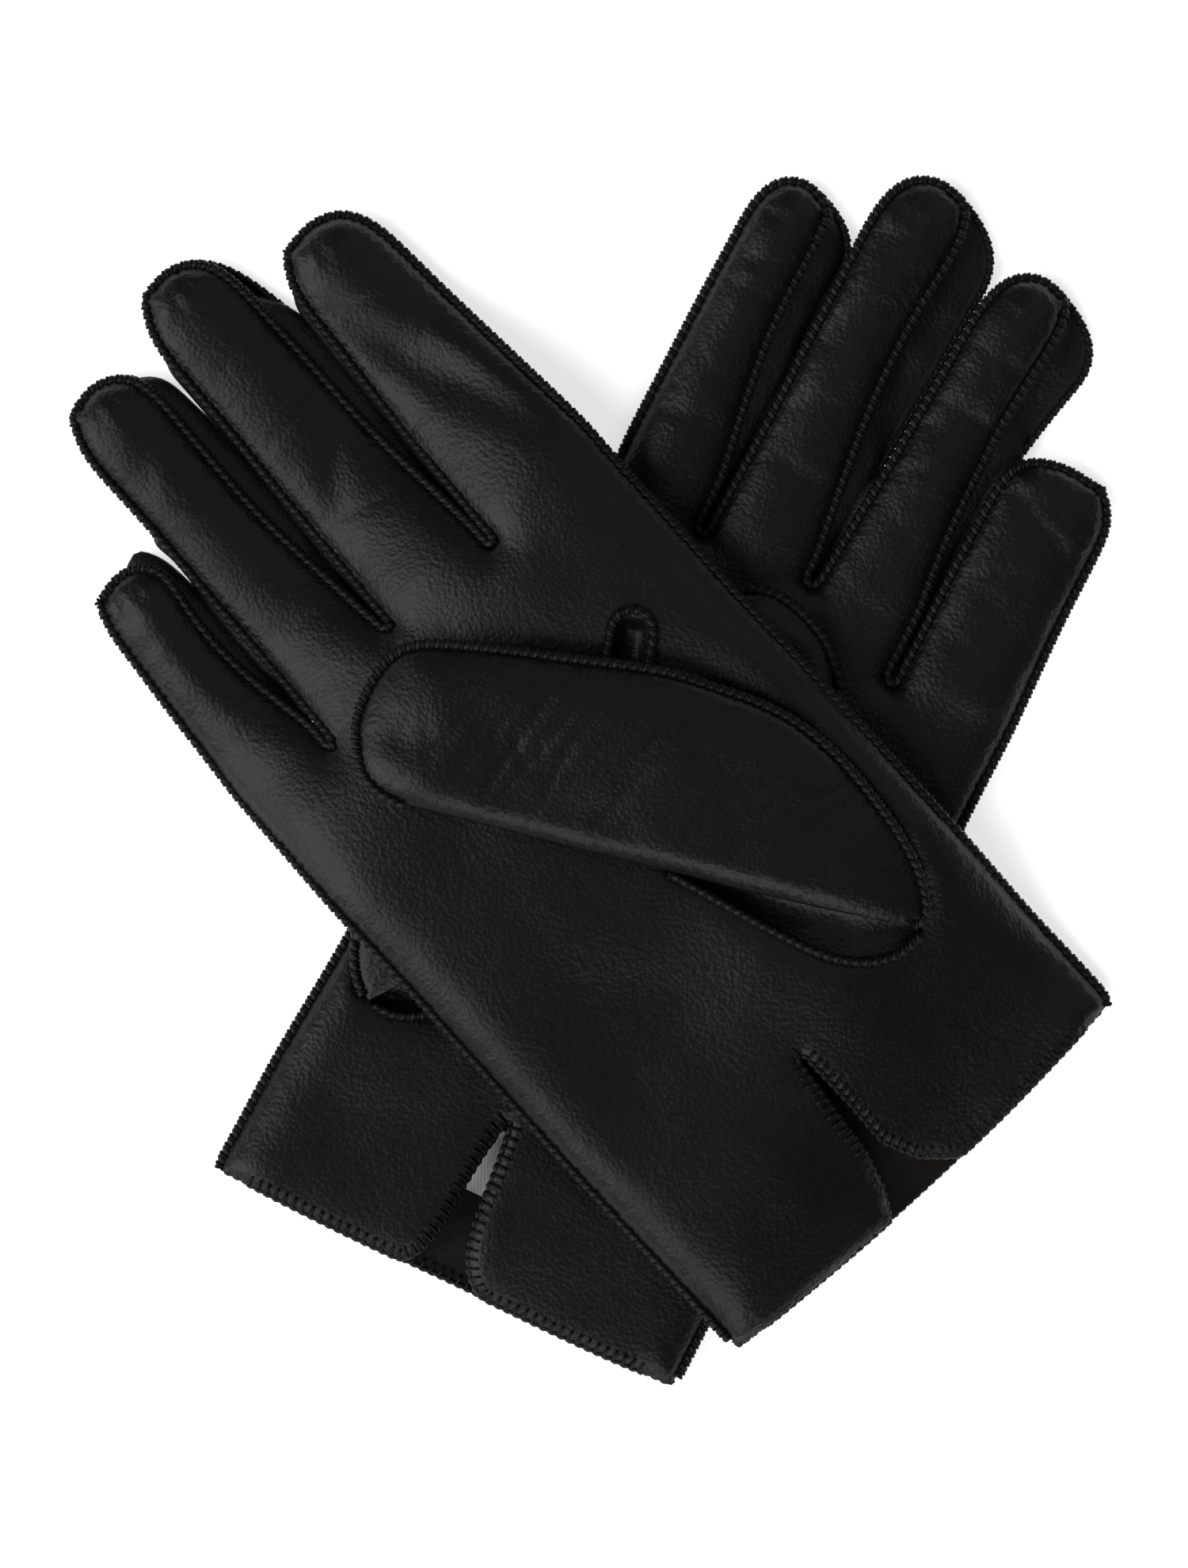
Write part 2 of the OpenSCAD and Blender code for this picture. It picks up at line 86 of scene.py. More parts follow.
# %% Camera
VIEW_WIDTH = 240 * MM
CAMERA_HEIGHT = 1.6
LEATHER_HEIGHT = 8 * MM
lens = bpy.data.cameras.new("camera")
lens.sensor_fit = "HORIZONTAL"
lens.sensor_width = 36
lens.lens = lens.sensor_width * (CAMERA_HEIGHT - LEATHER_HEIGHT) / VIEW_WIDTH
camera = bpy.data.objects.new("camera", lens)
camera.location = (0, 0, CAMERA_HEIGHT)
bpy.context.scene.collection.objects.link(camera)
bpy.context.scene.camera = camera
print("lens, mm:", round(lens.lens, 1))

# %% [markdown]
# ## Reading the design model
# Each panel of the design is a thin closed solid. Its upward faces are the leather's outer face,
# and the border of those faces is the line where the panel was cut. A small plane frame, made of
# a point and a heading, lets a finger or a hand be talked about in its own directions.

# %% Panels and plane frames
class Plane:
    """A place on the table: points are across (to the right of the heading) and along it."""

    def __init__(self, origin, heading, mirrored=False):
        self.origin = np.array(origin[:2], float)
        self.along = np.array(heading[:2], float) / np.hypot(*heading[:2])
        self.across = np.array([self.along[1], -self.along[0]]) * (-1 if mirrored else 1)

    def local(self, points):
        from_origin = np.asarray(points)[..., :2] - self.origin
        return from_origin @ self.across, from_origin @ self.along

    def room(self, across, along):
        return (self.origin + np.multiply.outer(across, self.across)
                + np.multiply.outer(along, self.along))


def cad_mesh(*nodes):
    """Vertices in millimetres and triangles of CAD nodes, with equal vertices made one."""
    corners, triangles = [], []
    for name in nodes:
        mesh = frame["nodes"][name].data
        mesh.calc_loop_triangles()
        points = np.array([v.co for v in mesh.vertices]) / MM
        faces = np.array([t.vertices for t in mesh.loop_triangles])
        triangles.append(faces + sum(len(c) for c in corners))
        corners.append(points)
    corners = np.concatenate(corners)
    triangles = np.concatenate(triangles)
    unique, place = np.unique(np.round(corners, 3), axis=0, return_inverse=True)
    return unique, place.reshape(-1)[triangles]


def upward(points, faces):
    a, b, c = (points[faces[:, k]] for k in range(3))
    normal = np.cross(b - a, c - a)
    return faces[normal[:, 2] > 0.2 * np.linalg.norm(normal, axis=1)]


def borders(faces):
    """Closed loops round a set of triangles, with the faces on the left, longest first."""
    directed = {(f[i], f[(i + 1) % 3]) for f in faces.tolist() for i in range(3)}
    following = {a: b for a, b in directed if (b, a) not in directed}
    loops = []
    while following:
        start = next(iter(sorted(following)))
        loop = [start]
        while following.get(loop[-1]) is not None:
            step = following.pop(loop[-1])
            if step == start:
                break
            loop.append(step)
        loops.append(loop)
    return sorted(loops, key=len, reverse=True)


class Height:
    """The height of a panel's upper face at any place, or at the nearest place that it has."""

    def __init__(self, *nodes):
        self.points, faces = cad_mesh(*nodes)
        self.faces = upward(self.points, faces)
        flat = self.points * (1, 1, 0)
        self.tree = BVHTree.FromPolygons(flat.tolist(), self.faces.tolist())

    def __call__(self, places):
        heights = []
        for x, y in np.asarray(places)[:, :2]:
            spot, _, face, _ = self.tree.find_nearest((x, y, 0))
            a, b, c = self.points[self.faces[face]]
            n = np.cross(b - a, c - a)
            heights.append(a[2] - (n[0] * (spot[0] - a[0]) + n[1] * (spot[1] - a[1])) / n[2])
        return np.array(heights)


FINGERS = ["index", "middle", "ring", "little"]
mounts = {m["name"]: m for m in frame["record"]["mounts"]}
hinges = {j["name"]: j for j in frame["joints"] if j["type"] == "hinge"}


def hinge_plane(joint, mirrored=False):
    axis = hinges[joint]["axis"]
    place = np.array(hinges[joint]["pos_m"]) / MM
    return Plane(place, (-axis[1], axis[0]), mirrored)


print("hinges:", len(hinges), "mounts:", sorted(mounts))

# %% [markdown]
# ## One outline for the palm side of a glove
# The design cuts each finger off at its hinge, because the fingers bend there. Real leather runs
# on without a break, so the palm's outline and the four finger outlines are joined into one. The
# finger pieces are cut from the finished mesh later, and their shading then has no seam.

# %% Joining outlines
# A point this near to a hinge line, in mm, is on the cut across the root of a finger or thumb
AT_HINGE = 0.9


def turned_to(loop, first):
    return loop[first:] + loop[:first]


def joined_outline(points, palm, fingers, planes):
    """The palm's outer loop with each finger's loop let in at its root."""
    outline = [points[i] for i in palm]
    for loop, plane in zip(fingers, planes):
        finger = [points[i] for i in loop]
        _, along = plane.local(finger)
        finger = turned_to(finger, int(np.argmax(along)))
        across, along = plane.local(finger)
        base = [i for i, v in enumerate(along) if v < AT_HINGE]
        beyond = finger[base[-1]:] + finger[:base[0] + 1]
        reach = np.ptp(across[base]) / 2 + 0.8
        middle = (across[base].max() + across[base].min()) / 2
        x, y = plane.local(outline)
        far = int(np.argmin(y))
        outline = turned_to(outline, far)
        x, y = plane.local(outline)
        run = [i for i in range(len(outline)) if abs(y[i]) < 0.3 and abs(x[i] - middle) < reach]
        outline = outline[:run[0] + 1] + beyond + outline[run[-1]:]
    return np.array(outline)


def without_spikes(loop):
    """Drops points where an outline turns straight back on itself."""
    before, after = loop - np.roll(loop, 1, 0), np.roll(loop, -1, 0) - loop
    size = np.linalg.norm(before[:, :2], axis=1) * np.linalg.norm(after[:, :2], axis=1)
    return loop[(before[:, :2] * after[:, :2]).sum(1) > -0.9 * size]


def rounded(loop, rounds=2, sharp=50, long_edge=6):
    """Cuts corners off a closed outline, but keeps the sharp corners between long edges."""
    loop = without_spikes(loop)
    before, after = loop - np.roll(loop, 1, 0), np.roll(loop, -1, 0) - loop
    size = [np.linalg.norm(e[:, :2], axis=1) for e in (before, after)]
    turn = (before[:, :2] * after[:, :2]).sum(1) / (size[0] * size[1] + 1e-9)
    keep = (turn < math.cos(math.radians(sharp))) & (size[0] > long_edge) & (size[1] > long_edge)
    for _ in range(rounds):
        new, kept = [], []
        for i, point in enumerate(loop):
            if keep[i]:
                new.append(point)
                kept.append(True)
            else:
                new.append(point * 0.75 + loop[i - 1] * 0.25)
                new.append(point * 0.75 + loop[(i + 1) % len(loop)] * 0.25)
                kept += [False, False]
        loop, keep = np.array(new), np.array(kept)
    return loop


# %% [markdown]
# ### Walking along an outline
# Seams and rings of vertices need points at equal distances, a running average that has no start
# or end, and the direction to one side of a line. These small tools do only that, and every later
# step uses them.

# %% Points along a line
def resampled(line, step, closed=True):
    """Points an equal distance apart, close to step, along a line."""
    line = np.vstack([line, line[:1]]) if closed else np.asarray(line)
    run = np.concatenate([[0], np.cumsum(np.linalg.norm(np.diff(line[:, :2], axis=0), axis=1))])
    count = max(4, int(round(run[-1] / step)))
    at = np.linspace(0, run[-1], count + (0 if closed else 1), endpoint=not closed)
    return np.column_stack([np.interp(at, run, line[:, k]) for k in range(line.shape[1])])


def averaged(values, width):
    """A running average round a closed row of numbers."""
    kernel = np.ones(2 * width + 1) / (2 * width + 1)
    return np.convolve(np.concatenate([values[-width:], values, values[:width]]), kernel, "valid")


def turns_left(loop):
    """Plus one for a loop that runs anticlockwise, minus one for clockwise."""
    x, y = loop[:, 0], loop[:, 1]
    return 1 if (x * np.roll(y, -1) - y * np.roll(x, -1)).sum() > 0 else -1


def leftward(line, closed=True):
    """The direction to the left of each point of a line."""
    if closed:
        run = np.roll(line, -1, 0) - np.roll(line, 1, 0)
    else:
        run = np.gradient(line, axis=0)
    run = run[:, :2] / (np.linalg.norm(run[:, :2], axis=1)[:, None] + 1e-9)
    return np.column_stack([-run[:, 1], run[:, 0]])


square = np.array([(0, 0), (1, 0), (1, 1), (0, 1)], float)
print("a square turns left:", turns_left(square) > 0)

# %% [markdown]
# ## A fine mesh cut to an outline
# Leather shows its softness in small changes of slope, so a panel needs a vertex about every
# millimetre, and closer ones beside a seam, where each stitch pulls the leather down. Rings of
# points follow the outline, a triangular lattice fills the rest, and a constrained Delaunay
# triangulation joins them without long thin triangles.

# %% Meshing a flat panel
# Rows of a triangular lattice lie this share of its pitch apart
TRIANGLE_ROW = 0.866
# New points keep this share of a ring's depth, or of the pitch, away from what is there already
RING_CLEARANCE = 0.86
LATTICE_CLEARANCE = 0.6


def nearest(samples):
    tree = kdtree.KDTree(len(samples))
    for i, p in enumerate(samples):
        tree.insert((p[0], p[1], 0), i)
    tree.balance()

    def find(points):
        found = [tree.find((p[0], p[1], 0)) for p in points]
        return np.array([f[1] for f in found]), np.array([f[2] for f in found])
    return find


def inside(points, loops):
    """Whether each point is in the outline and in none of its holes."""
    odd = np.zeros(len(points), bool)
    x, y = points[:, 0], points[:, 1]
    for loop in loops:
        for (x1, y1), (x2, y2) in zip(loop[:, :2], np.roll(loop[:, :2], -1, 0)):
            if y1 != y2:
                odd ^= ((y1 > y) != (y2 > y)) & (x < (x2 - x1) * (y - y1) / (y2 - y1) + x1)
    return odd


def cut_panel(loops, rings, pitch):
    """Vertices and triangles that fill the loops. The first vertices are the loops' own."""
    edge = np.vstack([l[:, :2] for l in loops])
    find = nearest(edge)
    points = [edge]
    for depth, gap in rings:
        for k, loop in enumerate(loops):
            inward = turns_left(loop) * (1 if k == 0 else -1) * leftward(loop)
            ring = resampled(loop[:, :2] + depth * inward, gap)
            points.append(ring[(find(ring)[1] > RING_CLEARANCE * depth)
                               & inside(ring, loops)])
    low, high = edge.min(0), edge.max(0)
    rows = np.arange(low[1], high[1], pitch * TRIANGLE_ROW)
    lattice = [(x + pitch / 2 * (r % 2), y) for r, y in enumerate(rows)
               for x in np.arange(low[0], high[0], pitch)]
    lattice = np.array(lattice)
    lattice = lattice[inside(lattice, loops)]
    points.append(lattice[find(lattice)[1] > rings[-1][0] + LATTICE_CLEARANCE * pitch])
    points = np.vstack(points)
    start, border = 0, []
    for loop in loops:
        n = len(loop)
        border += [(start + i, start + (i + 1) % n) for i in range(n)]
        start += n
    flat, _, faces, *_ = geometry.delaunay_2d_cdt([Vector(p) for p in points], border, [], 0, 1e-5)
    flat = np.array(flat)
    faces = np.array([f for f in faces if len(f) == 3])
    faces = faces[inside(flat[faces].mean(1), loops)]
    return flat, faces


def edges_of(faces):
    pairs = np.sort(np.vstack([faces[:, [0, 1]], faces[:, [1, 2]], faces[:, [2, 0]]]), axis=1)
    return np.unique(pairs, axis=0)


def relaxed(values, edges, rounds, strength=0.5):
    """Moves each value towards the average of its neighbours, several times."""
    a, b = edges.T
    n = len(values)
    count = np.bincount(a, minlength=n) + np.bincount(b, minlength=n)
    for _ in range(rounds):
        total = (np.bincount(a, values[b], minlength=n) + np.bincount(b, values[a], minlength=n))
        values = values + strength * (total / np.maximum(count, 1) - values)
    return values


print("triangles in a one-millimetre mesh of a square centimetre:",
      len(cut_panel([resampled(square * 10, 1)], [(0.5, 1)], 1)[1]))

# %% [markdown]
# ## How leather lies
# An empty glove is not flat. Between its seams the leather puffs up like a low pillow, it sinks
# where the thread pulls, and it keeps slow waves and a few creases from being worn. Smooth noise
# gives the waves, and it is the same noise everywhere, so pieces that touch move together.

# %% Puff, waves and creases
def pillow(t):
    t = np.clip(t, 0, 1)
    return np.sqrt(1 - (1 - t) ** 2)


def smooth(t):
    t = np.clip(t, 0, 1)
    return t * t * (3 - 2 * t)


def waves(points, length, seed=0):
    return np.array([noise.noise((p[0] / length, p[1] / length, seed + 0.37)) for p in points])


DRIFT = 0.5
DRIFT_LENGTH = 26


def drifted(points):
    """Hand-cut leather never follows a drawn line: everything drifts by up to half a millimetre."""
    moved = np.array(points, float)
    moved[:, 0] += DRIFT * waves(points, DRIFT_LENGTH, 11)
    moved[:, 1] += DRIFT * waves(points, DRIFT_LENGTH, 23)
    return moved


def crease(x, y, middle, reach, lean, bow, width, depth):
    """A soft groove across a strip: x across it, y along it."""
    line = middle + lean * x + bow * x * x / reach
    return -depth * np.exp(-((y - line) / width) ** 2) * smooth(1.15 - np.abs(x) / reach)


# %% [markdown]
# ## Materials
# Three leathers, one thread and one ribbon cover everything. Each is named for what it is; the
# leathers of the side strips and the seam ridges are darker copies of the panels' nappa, and that
# extra darkness is painted shade.
# Colours are written as the usual six-digit sRGB values and turned to linear light by one
# function, and every pattern gets its size in millimetres, because textures here are measured in
# the object's own metres.

# %% Colour, node and material helpers
def colour(code):
    """A six-digit sRGB colour as linear red, green, blue and alpha."""
    values = [int(code[k:k + 2], 16) / 255 for k in (0, 2, 4)]
    return [v / 12.92 if v <= 0.04045 else ((v + 0.055) / 1.055) ** 2.4 for v in values] + [1]


def per_mm(size):
    """The texture scale that makes a pattern repeat about every size millimetres."""
    return 1 / (size * MM)


def add(tree, kind, settings=None, **links):
    """Adds a node, sets its properties and inputs, and links sockets given by input name."""
    node = tree.nodes.new(kind)
    for key, value in (settings or {}).items():
        if hasattr(node, key):
            setattr(node, key, value)
        else:
            node.inputs[key].default_value = value
    for key, source in links.items():
        tree.links.new(source, node.inputs[key.replace("_", " ")])
    return node


def new_material(name, settings):
    material = bpy.data.materials.new(name)
    material.use_nodes = True
    tree = material.node_tree
    shader = tree.nodes["Principled BSDF"]
    for key, value in settings.items():
        shader.inputs[key].default_value = value
    where = add(tree, "ShaderNodeTexCoord").outputs["Object"]
    return material, tree, shader, where


def ramp(tree, source, stops):
    node = add(tree, "ShaderNodeValToRGB", Fac=source)
    for k, (at, shade) in enumerate(stops):
        stop = node.color_ramp.elements[k] if k < 2 else node.color_ramp.elements.new(at)
        stop.position = at
        stop.color = shade
    return node.outputs["Color"]


def grey(value):
    return [value, value, value, 1]


# %% [markdown]
# ### Black nappa
# Glove nappa is sheepskin, drum-dyed black and left with its own grain: tiny rounded cells under
# a millimetre across, crossed by fine stretch lines. The finish is thin, so it has a soft broad
# shine and not a gloss, and slightly browner, duller patches where it was rubbed.

# %% Black nappa leather
def nappa(name, base, worn, roughness, grain):
    leather, tree, shader, where = new_material(name, {
        "IOR": 1.45, "Specular IOR Level": 0.32})
    patches = add(tree, "ShaderNodeTexNoise", {"Scale": per_mm(28), "Detail": 5,
                                               "Roughness": 0.6}, Vector=where)
    tone = ramp(tree, patches.outputs["Fac"], [(0.35, colour(base)), (0.68, colour(worn))])
    tree.links.new(tone, shader.inputs["Base Color"])
    cells = add(tree, "ShaderNodeTexVoronoi", {"feature": "SMOOTH_F1", "Scale": per_mm(0.85),
                                               "Smoothness": 0.6}, Vector=where)
    stretch = add(tree, "ShaderNodeMapping", {"Scale": (1, 0.6, 1),
                                              "Rotation": (0, 0, 0.7)}, Vector=where)
    lines = add(tree, "ShaderNodeTexNoise", {"Scale": per_mm(1.5), "Detail": 6, "Roughness": 0.65,
                                             "Distortion": 0.6}, Vector=stretch.outputs["Vector"])
    soft = add(tree, "ShaderNodeTexNoise", {"Scale": per_mm(7), "Detail": 3}, Vector=where)
    fine = add(tree, "ShaderNodeBump", {"Strength": 1.0, "Distance": grain * MM},
               Height=cells.outputs["Distance"])
    lined = add(tree, "ShaderNodeBump", {"Strength": 1.0, "Distance": 0.6 * grain * MM},
                Height=lines.outputs["Fac"], Normal=fine.outputs["Normal"])
    last = add(tree, "ShaderNodeBump", {"Strength": 0.6, "Distance": 1.5 * grain * MM},
               Height=soft.outputs["Fac"], Normal=lined.outputs["Normal"])
    tree.links.new(last.outputs["Normal"], shader.inputs["Normal"])
    rough = ramp(tree, lines.outputs["Fac"], [(0.3, grey(roughness - 0.03)),
                                              (0.7, grey(roughness + 0.04))])
    tree.links.new(rough, shader.inputs["Roughness"])
    return leather


black_nappa = nappa("black_nappa", "060505", "0c0a0a", 0.40, 0.11)
# The side strips' copy of the nappa is a little darker than the panels': painted shade between the fingers.
strip_nappa_painted_shade = nappa("fourchette_nappa_painted_shade", "050404", "0a0909", 0.46, 0.12)
# The seam copy is much darker than the panels: painted shade on the seam ridges and hem ropes.
seam_nappa_painted_shade = nappa("gathered_seam_nappa_painted_shade", "020202", "060505", 0.55, 0.08)
print("leathers:", black_nappa.name, strip_nappa_painted_shade.name, seam_nappa_painted_shade.name)

# %% [markdown]
# ### Flesh side, thread and ribbon
# The inside of an unlined glove is the flesh side of the same skin, a short brown-black nap with
# no shine. The thread is waxed cotton: black, matt, with a two-strand twist. The blank label is
# white satin ribbon, whose fine rib runs one way and gives it a silky sheen.

# %% Suede, thread and satin
def suede():
    nap, tree, shader, where = new_material("suede_flesh_side", {
        "Roughness": 0.95, "Specular IOR Level": 0.2, "Sheen Weight": 0.35,
        "Sheen Roughness": 0.5, "Sheen Tint": colour("4a4038")})
    cloud = add(tree, "ShaderNodeTexNoise", {"Scale": per_mm(3), "Detail": 8,
                                             "Roughness": 0.7}, Vector=where)
    tone = ramp(tree, cloud.outputs["Fac"], [(0.3, colour("131110")), (0.7, colour("221e1b"))])
    tree.links.new(tone, shader.inputs["Base Color"])
    fuzz = add(tree, "ShaderNodeTexNoise", {"Scale": per_mm(0.4), "Detail": 3}, Vector=where)
    bump = add(tree, "ShaderNodeBump", {"Distance": 0.12 * MM}, Height=fuzz.outputs["Fac"])
    tree.links.new(bump.outputs["Normal"], shader.inputs["Normal"])
    return nap


# A wave texture fits one band into this many units of its scale
BAND = 6.28


def cotton_thread():
    thread, tree, shader, where = new_material("waxed_cotton_thread", {
        "Specular IOR Level": 0.2, "Roughness": 0.6})
    strands = add(tree, "ShaderNodeTexWave", {"bands_direction": "DIAGONAL",
                                              "Scale": per_mm(0.5) / BAND,
                                              "Distortion": 1.5}, Vector=where)
    tone = ramp(tree, strands.outputs["Fac"], [(0.2, colour("020202")), (0.8, colour("070606"))])
    tree.links.new(tone, shader.inputs["Base Color"])
    bump = add(tree, "ShaderNodeBump", {"Distance": 0.08 * MM}, Height=strands.outputs["Fac"])
    tree.links.new(bump.outputs["Normal"], shader.inputs["Normal"])
    return thread


def satin_ribbon():
    ribbon, tree, shader, where = new_material("white_satin_ribbon", {
        "Roughness": 0.42, "Sheen Weight": 0.3, "Sheen Roughness": 0.3})
    rib = add(tree, "ShaderNodeTexWave", {"Scale": per_mm(0.35) / BAND}, Vector=where)
    tone = ramp(tree, rib.outputs["Fac"], [(0, colour("dcdad6")), (1, colour("f3f2ef"))])
    tree.links.new(tone, shader.inputs["Base Color"])
    bump = add(tree, "ShaderNodeBump", {"Distance": 0.05 * MM}, Height=rib.outputs["Fac"])
    tree.links.new(bump.outputs["Normal"], shader.inputs["Normal"])
    return ribbon


flesh_side = suede()
black_thread = cotton_thread()
white_satin = satin_ribbon()
print("inside, thread and label:", flesh_side.name, black_thread.name, white_satin.name)

# %% [markdown]
# ## From numbers to pieces
# A panel is finished as one mesh with an outer face, an inner face and a rim. Only then is it cut
# into the pieces that move, and each piece keeps the vertex normals of the whole panel, so the
# cuts can't be seen at rest. The hand's pieces are fixed to the hand; a finger's or thumb's piece
# only has its transform baked.

# %% Making pieces
def make_object(name, points, faces, materials, of_face=None, normals=None):
    """A smooth mesh object from points in millimetres."""
    faces = np.asarray(faces)
    used = np.unique(faces)
    place = np.full(int(used.max()) + 1, -1)
    place[used] = np.arange(len(used))
    mesh = bpy.data.meshes.new(name)
    mesh.from_pydata((np.asarray(points)[used] * MM).tolist(), [], place[faces].tolist())
    for material in materials:
        mesh.materials.append(material)
    if of_face is not None:
        mesh.polygons.foreach_set("material_index", np.asarray(of_face, np.int32))
    mesh.polygons.foreach_set("use_smooth", [True] * len(mesh.polygons))
    mesh.update()
    if normals is not None:
        mesh.normals_split_custom_set_from_vertices(np.asarray(normals)[used].tolist())
    piece = bpy.data.objects.new(name, mesh)
    bpy.context.scene.collection.objects.link(piece)
    return piece


def vertex_normals(points, faces):
    a, b, c = (points[faces[:, k]] for k in range(3))
    normal = np.cross(b - a, c - a)
    total = np.zeros_like(points)
    for k in range(3):
        for axis in range(3):
            total[:, axis] += np.bincount(faces[:, k], normal[:, axis], minlength=len(points))
    return total / (np.linalg.norm(total, axis=1)[:, None] + 1e-12)


BLEND_START = -0.6
BLEND_END = 13


def attach(piece, glove, finger, node=None):
    """Fixes a piece to the hand; a finger's or thumb's piece only has its transform baked."""
    hand = f"{glove}_hand"
    if finger is None:
        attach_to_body(piece, hand)
    else:
        joint = f"{glove}_{finger}_" + ("lift" if finger == "thumb" else "curl")
        plane = hinge_plane(joint)
        height = hinges[joint]["pos_m"][2]
        start, end = (Vector((*(plane.room(0, v) * MM), height)) for v in (BLEND_START, BLEND_END))
        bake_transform(piece)
    if node:
        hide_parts(node)
    return piece


def leather_solid(flat, faces, outer, thickness, face_down=False):
    """Gives a panel its thickness: the outer face first, then the inner face and the rim."""
    n = len(flat)
    if face_down:
        faces, thickness = faces[:, ::-1], -thickness
    top = np.column_stack([flat, outer])
    inner = np.column_stack([flat, outer - thickness])
    directed = {(f[i], f[(i + 1) % 3]) for f in faces.tolist() for i in range(3)}
    rim = [(a, b) for a, b in sorted(directed) if (b, a) not in directed]
    walls = [w for a, b in rim for w in ((b, a, a + n), (b, a + n, b + n))]
    every = np.vstack([faces, faces[:, ::-1] + n, np.array(walls)])
    side = np.concatenate([np.zeros(len(faces)), np.ones(len(faces)), np.zeros(len(walls))])
    return np.vstack([top, inner]), every, side.astype(int)


# %% [markdown]
# ## The outlines of a glove
# A glove's border is walked once, from the hem on the thumb side, round the four fingers, to the
# hem on the little-finger side. Each point of the border knows which finger it belongs to. The
# places where the walk turns at a fingertip and at the bottom of a crotch split it into the runs
# where side strips are sewn in.

# %% Border of one side of a glove
LEATHER = 1.0
PANEL_DEPTH = 8.0
BORDER_STEP = 0.5
# This many points on from the thumb-side corner, a walk up the side is at least this far along
CHECK_POINT = 40
CHECK_ALONG = 10


def along_at(plane, line, i):
    """How far along a plane's heading one point of a line is."""
    return plane.local(line[i][None])[1][0]


class Border:
    """The border of the front or back of a glove, and what is known at each of its points."""

    def __init__(self, glove, part):
        panel = f"{glove}_{'palm' if part == 'front' else 'back'}_panel"
        planes = [hinge_plane(f"{glove}_{f}_curl") for f in FINGERS]
        self.nodes = [panel] + [f"{glove}_{f}_{part}" for f in FINGERS]
        loops = []
        for name in self.nodes:
            points, faces = cad_mesh(name)
            loops.append((points, borders(upward(points, faces))))
        pool = np.vstack([p for p, _ in loops])
        first = np.cumsum([0] + [len(p) for p, _ in loops])
        palm = loops[0][1][0]
        fingers = [[i + first[k + 1] for i in loops[k + 1][1][0]] for k in range(4)]
        outer = joined_outline(pool, palm, fingers, planes)
        ends = [max((pool[i] for i in loop), key=lambda p, q=plane: q.local(p)[1])
                for loop, plane in zip(fingers, planes)]
        mouth = mounts[f"{glove}_hand_opening"]
        self.plane = Plane(np.array(mouth["pos_m"]) / MM, [-v for v in mouth["axis"]],
                           mirrored=glove == "left")
        self.planes = planes
        self.outer = resampled(rounded(outer), BORDER_STEP)
        self.holes = [resampled(rounded(pool[h]), BORDER_STEP) for h in loops[0][1][1:]]
        self.find_runs(ends)

    def find_runs(self, ends):
        """Turns the outline to start at the hem, and finds its fingertips and crotches."""
        across, along = self.plane.local(self.outer)
        thumb_side = int(np.argmin(np.hypot(across - across.max(), along - along.min())))
        self.outer = np.roll(self.outer, -thumb_side, axis=0)
        self.flipped = bool(along_at(self.plane, self.outer, CHECK_POINT) < CHECK_ALONG)
        if self.flipped:
            self.outer = np.roll(self.outer[::-1], 1, axis=0)
        across, along = self.plane.local(self.outer)
        tips = [int(i) for i in nearest(self.outer)(ends)[0]]
        self.tips = tips
        self.crotches = [a + int(np.argmin(along[a:b])) for a, b in zip(tips, tips[1:])]
        low = np.where(along < along.max() * 0.5)[0]
        after = low[low > tips[-1]]
        corner = np.hypot(across[after] - across[after].min(), along[after] - along[after].min())
        self.last = int(after[np.argmin(corner)])
        marks = [0, *self.crotches, self.last]
        self.finger = np.full(len(self.outer), -1)
        for k in range(4):
            self.finger[marks[k]:marks[k + 1]] = k


borders_of = {}
for glove in ("left", "right"):
    for part in ("front", "back"):
        border = Border(glove, part)
        borders_of[glove, part] = border
        print(glove, part, "border points:", len(border.outer), "tips:", border.tips,
              "crotches:", border.crotches, "end:", border.last, "holes:", len(border.holes))

# %% [markdown]
# ## Rolled fingers
# An empty finger doesn't lie square. It has rolled a little about its length, so the palm side
# looks narrow at mid-finger and the side strip beside it shows as a broad band. Each finger's
# own roll moves the seam between them towards the finger's middle.

# %% Roll of each finger
# How far each finger's seam moves, in mm, from index to little finger
ROLL = {"right": (0.0, 1.0, 2.0, 2.6), "left": (2.2, 3.2, 2.8, 0.0)}
ROLL_SKEW = 1.1
TIP_LEFT_OUT = 5
# A knot pushes the seam out: border points past the tip, and its rise and width in mm
KNOT_AFTER_TIP = 13
KNOT_RISE = 1.1
KNOT_WIDTH = 1.3


def roll_fingers(glove):
    border = borders_of[glove, "front"]
    for k, plane in enumerate(border.planes):
        x, y = plane.local(border.outer)
        length = y[border.tips[k]]
        mine = (border.finger == k) & (y > 0) & (x > 0)
        share = np.clip(y / (length - TIP_LEFT_OUT), 0, 1)
        x = x - mine * ROLL[glove][k] * np.sin(math.pi * share ** ROLL_SKEW)
        border.outer[mine, :2] = plane.room(x, y)[mine]
        out = -leftward(border.outer) * (-1 if border.flipped else 1)
        from_knot = (np.arange(len(border.outer)) - border.tips[k] - KNOT_AFTER_TIP) * BORDER_STEP
        border.outer[:, :2] += out * (KNOT_RISE * np.exp(-(from_knot / KNOT_WIDTH) ** 2))[:, None]
    print(glove, "fingers rolled by up to", max(ROLL[glove]), "mm")


for glove in ("left", "right"):
    roll_fingers(glove)

# %% [markdown]
# ## The palm side
# The outer face starts at the drape, which is where the back panel of the design lies: the upper
# glove falls over the lower one. On top of the drape the leather rises from its seams as a
# pillow. A side seam lies low, where the two sides of the glove meet; the seam beside a side
# strip stands higher; the hem is hardly pulled down at all.

# %% Heights of the palm side
# Where a finger is cut from the palm, measured from its hinge, and the length of a stitch
CUT = -2.0
STITCH = 2.0
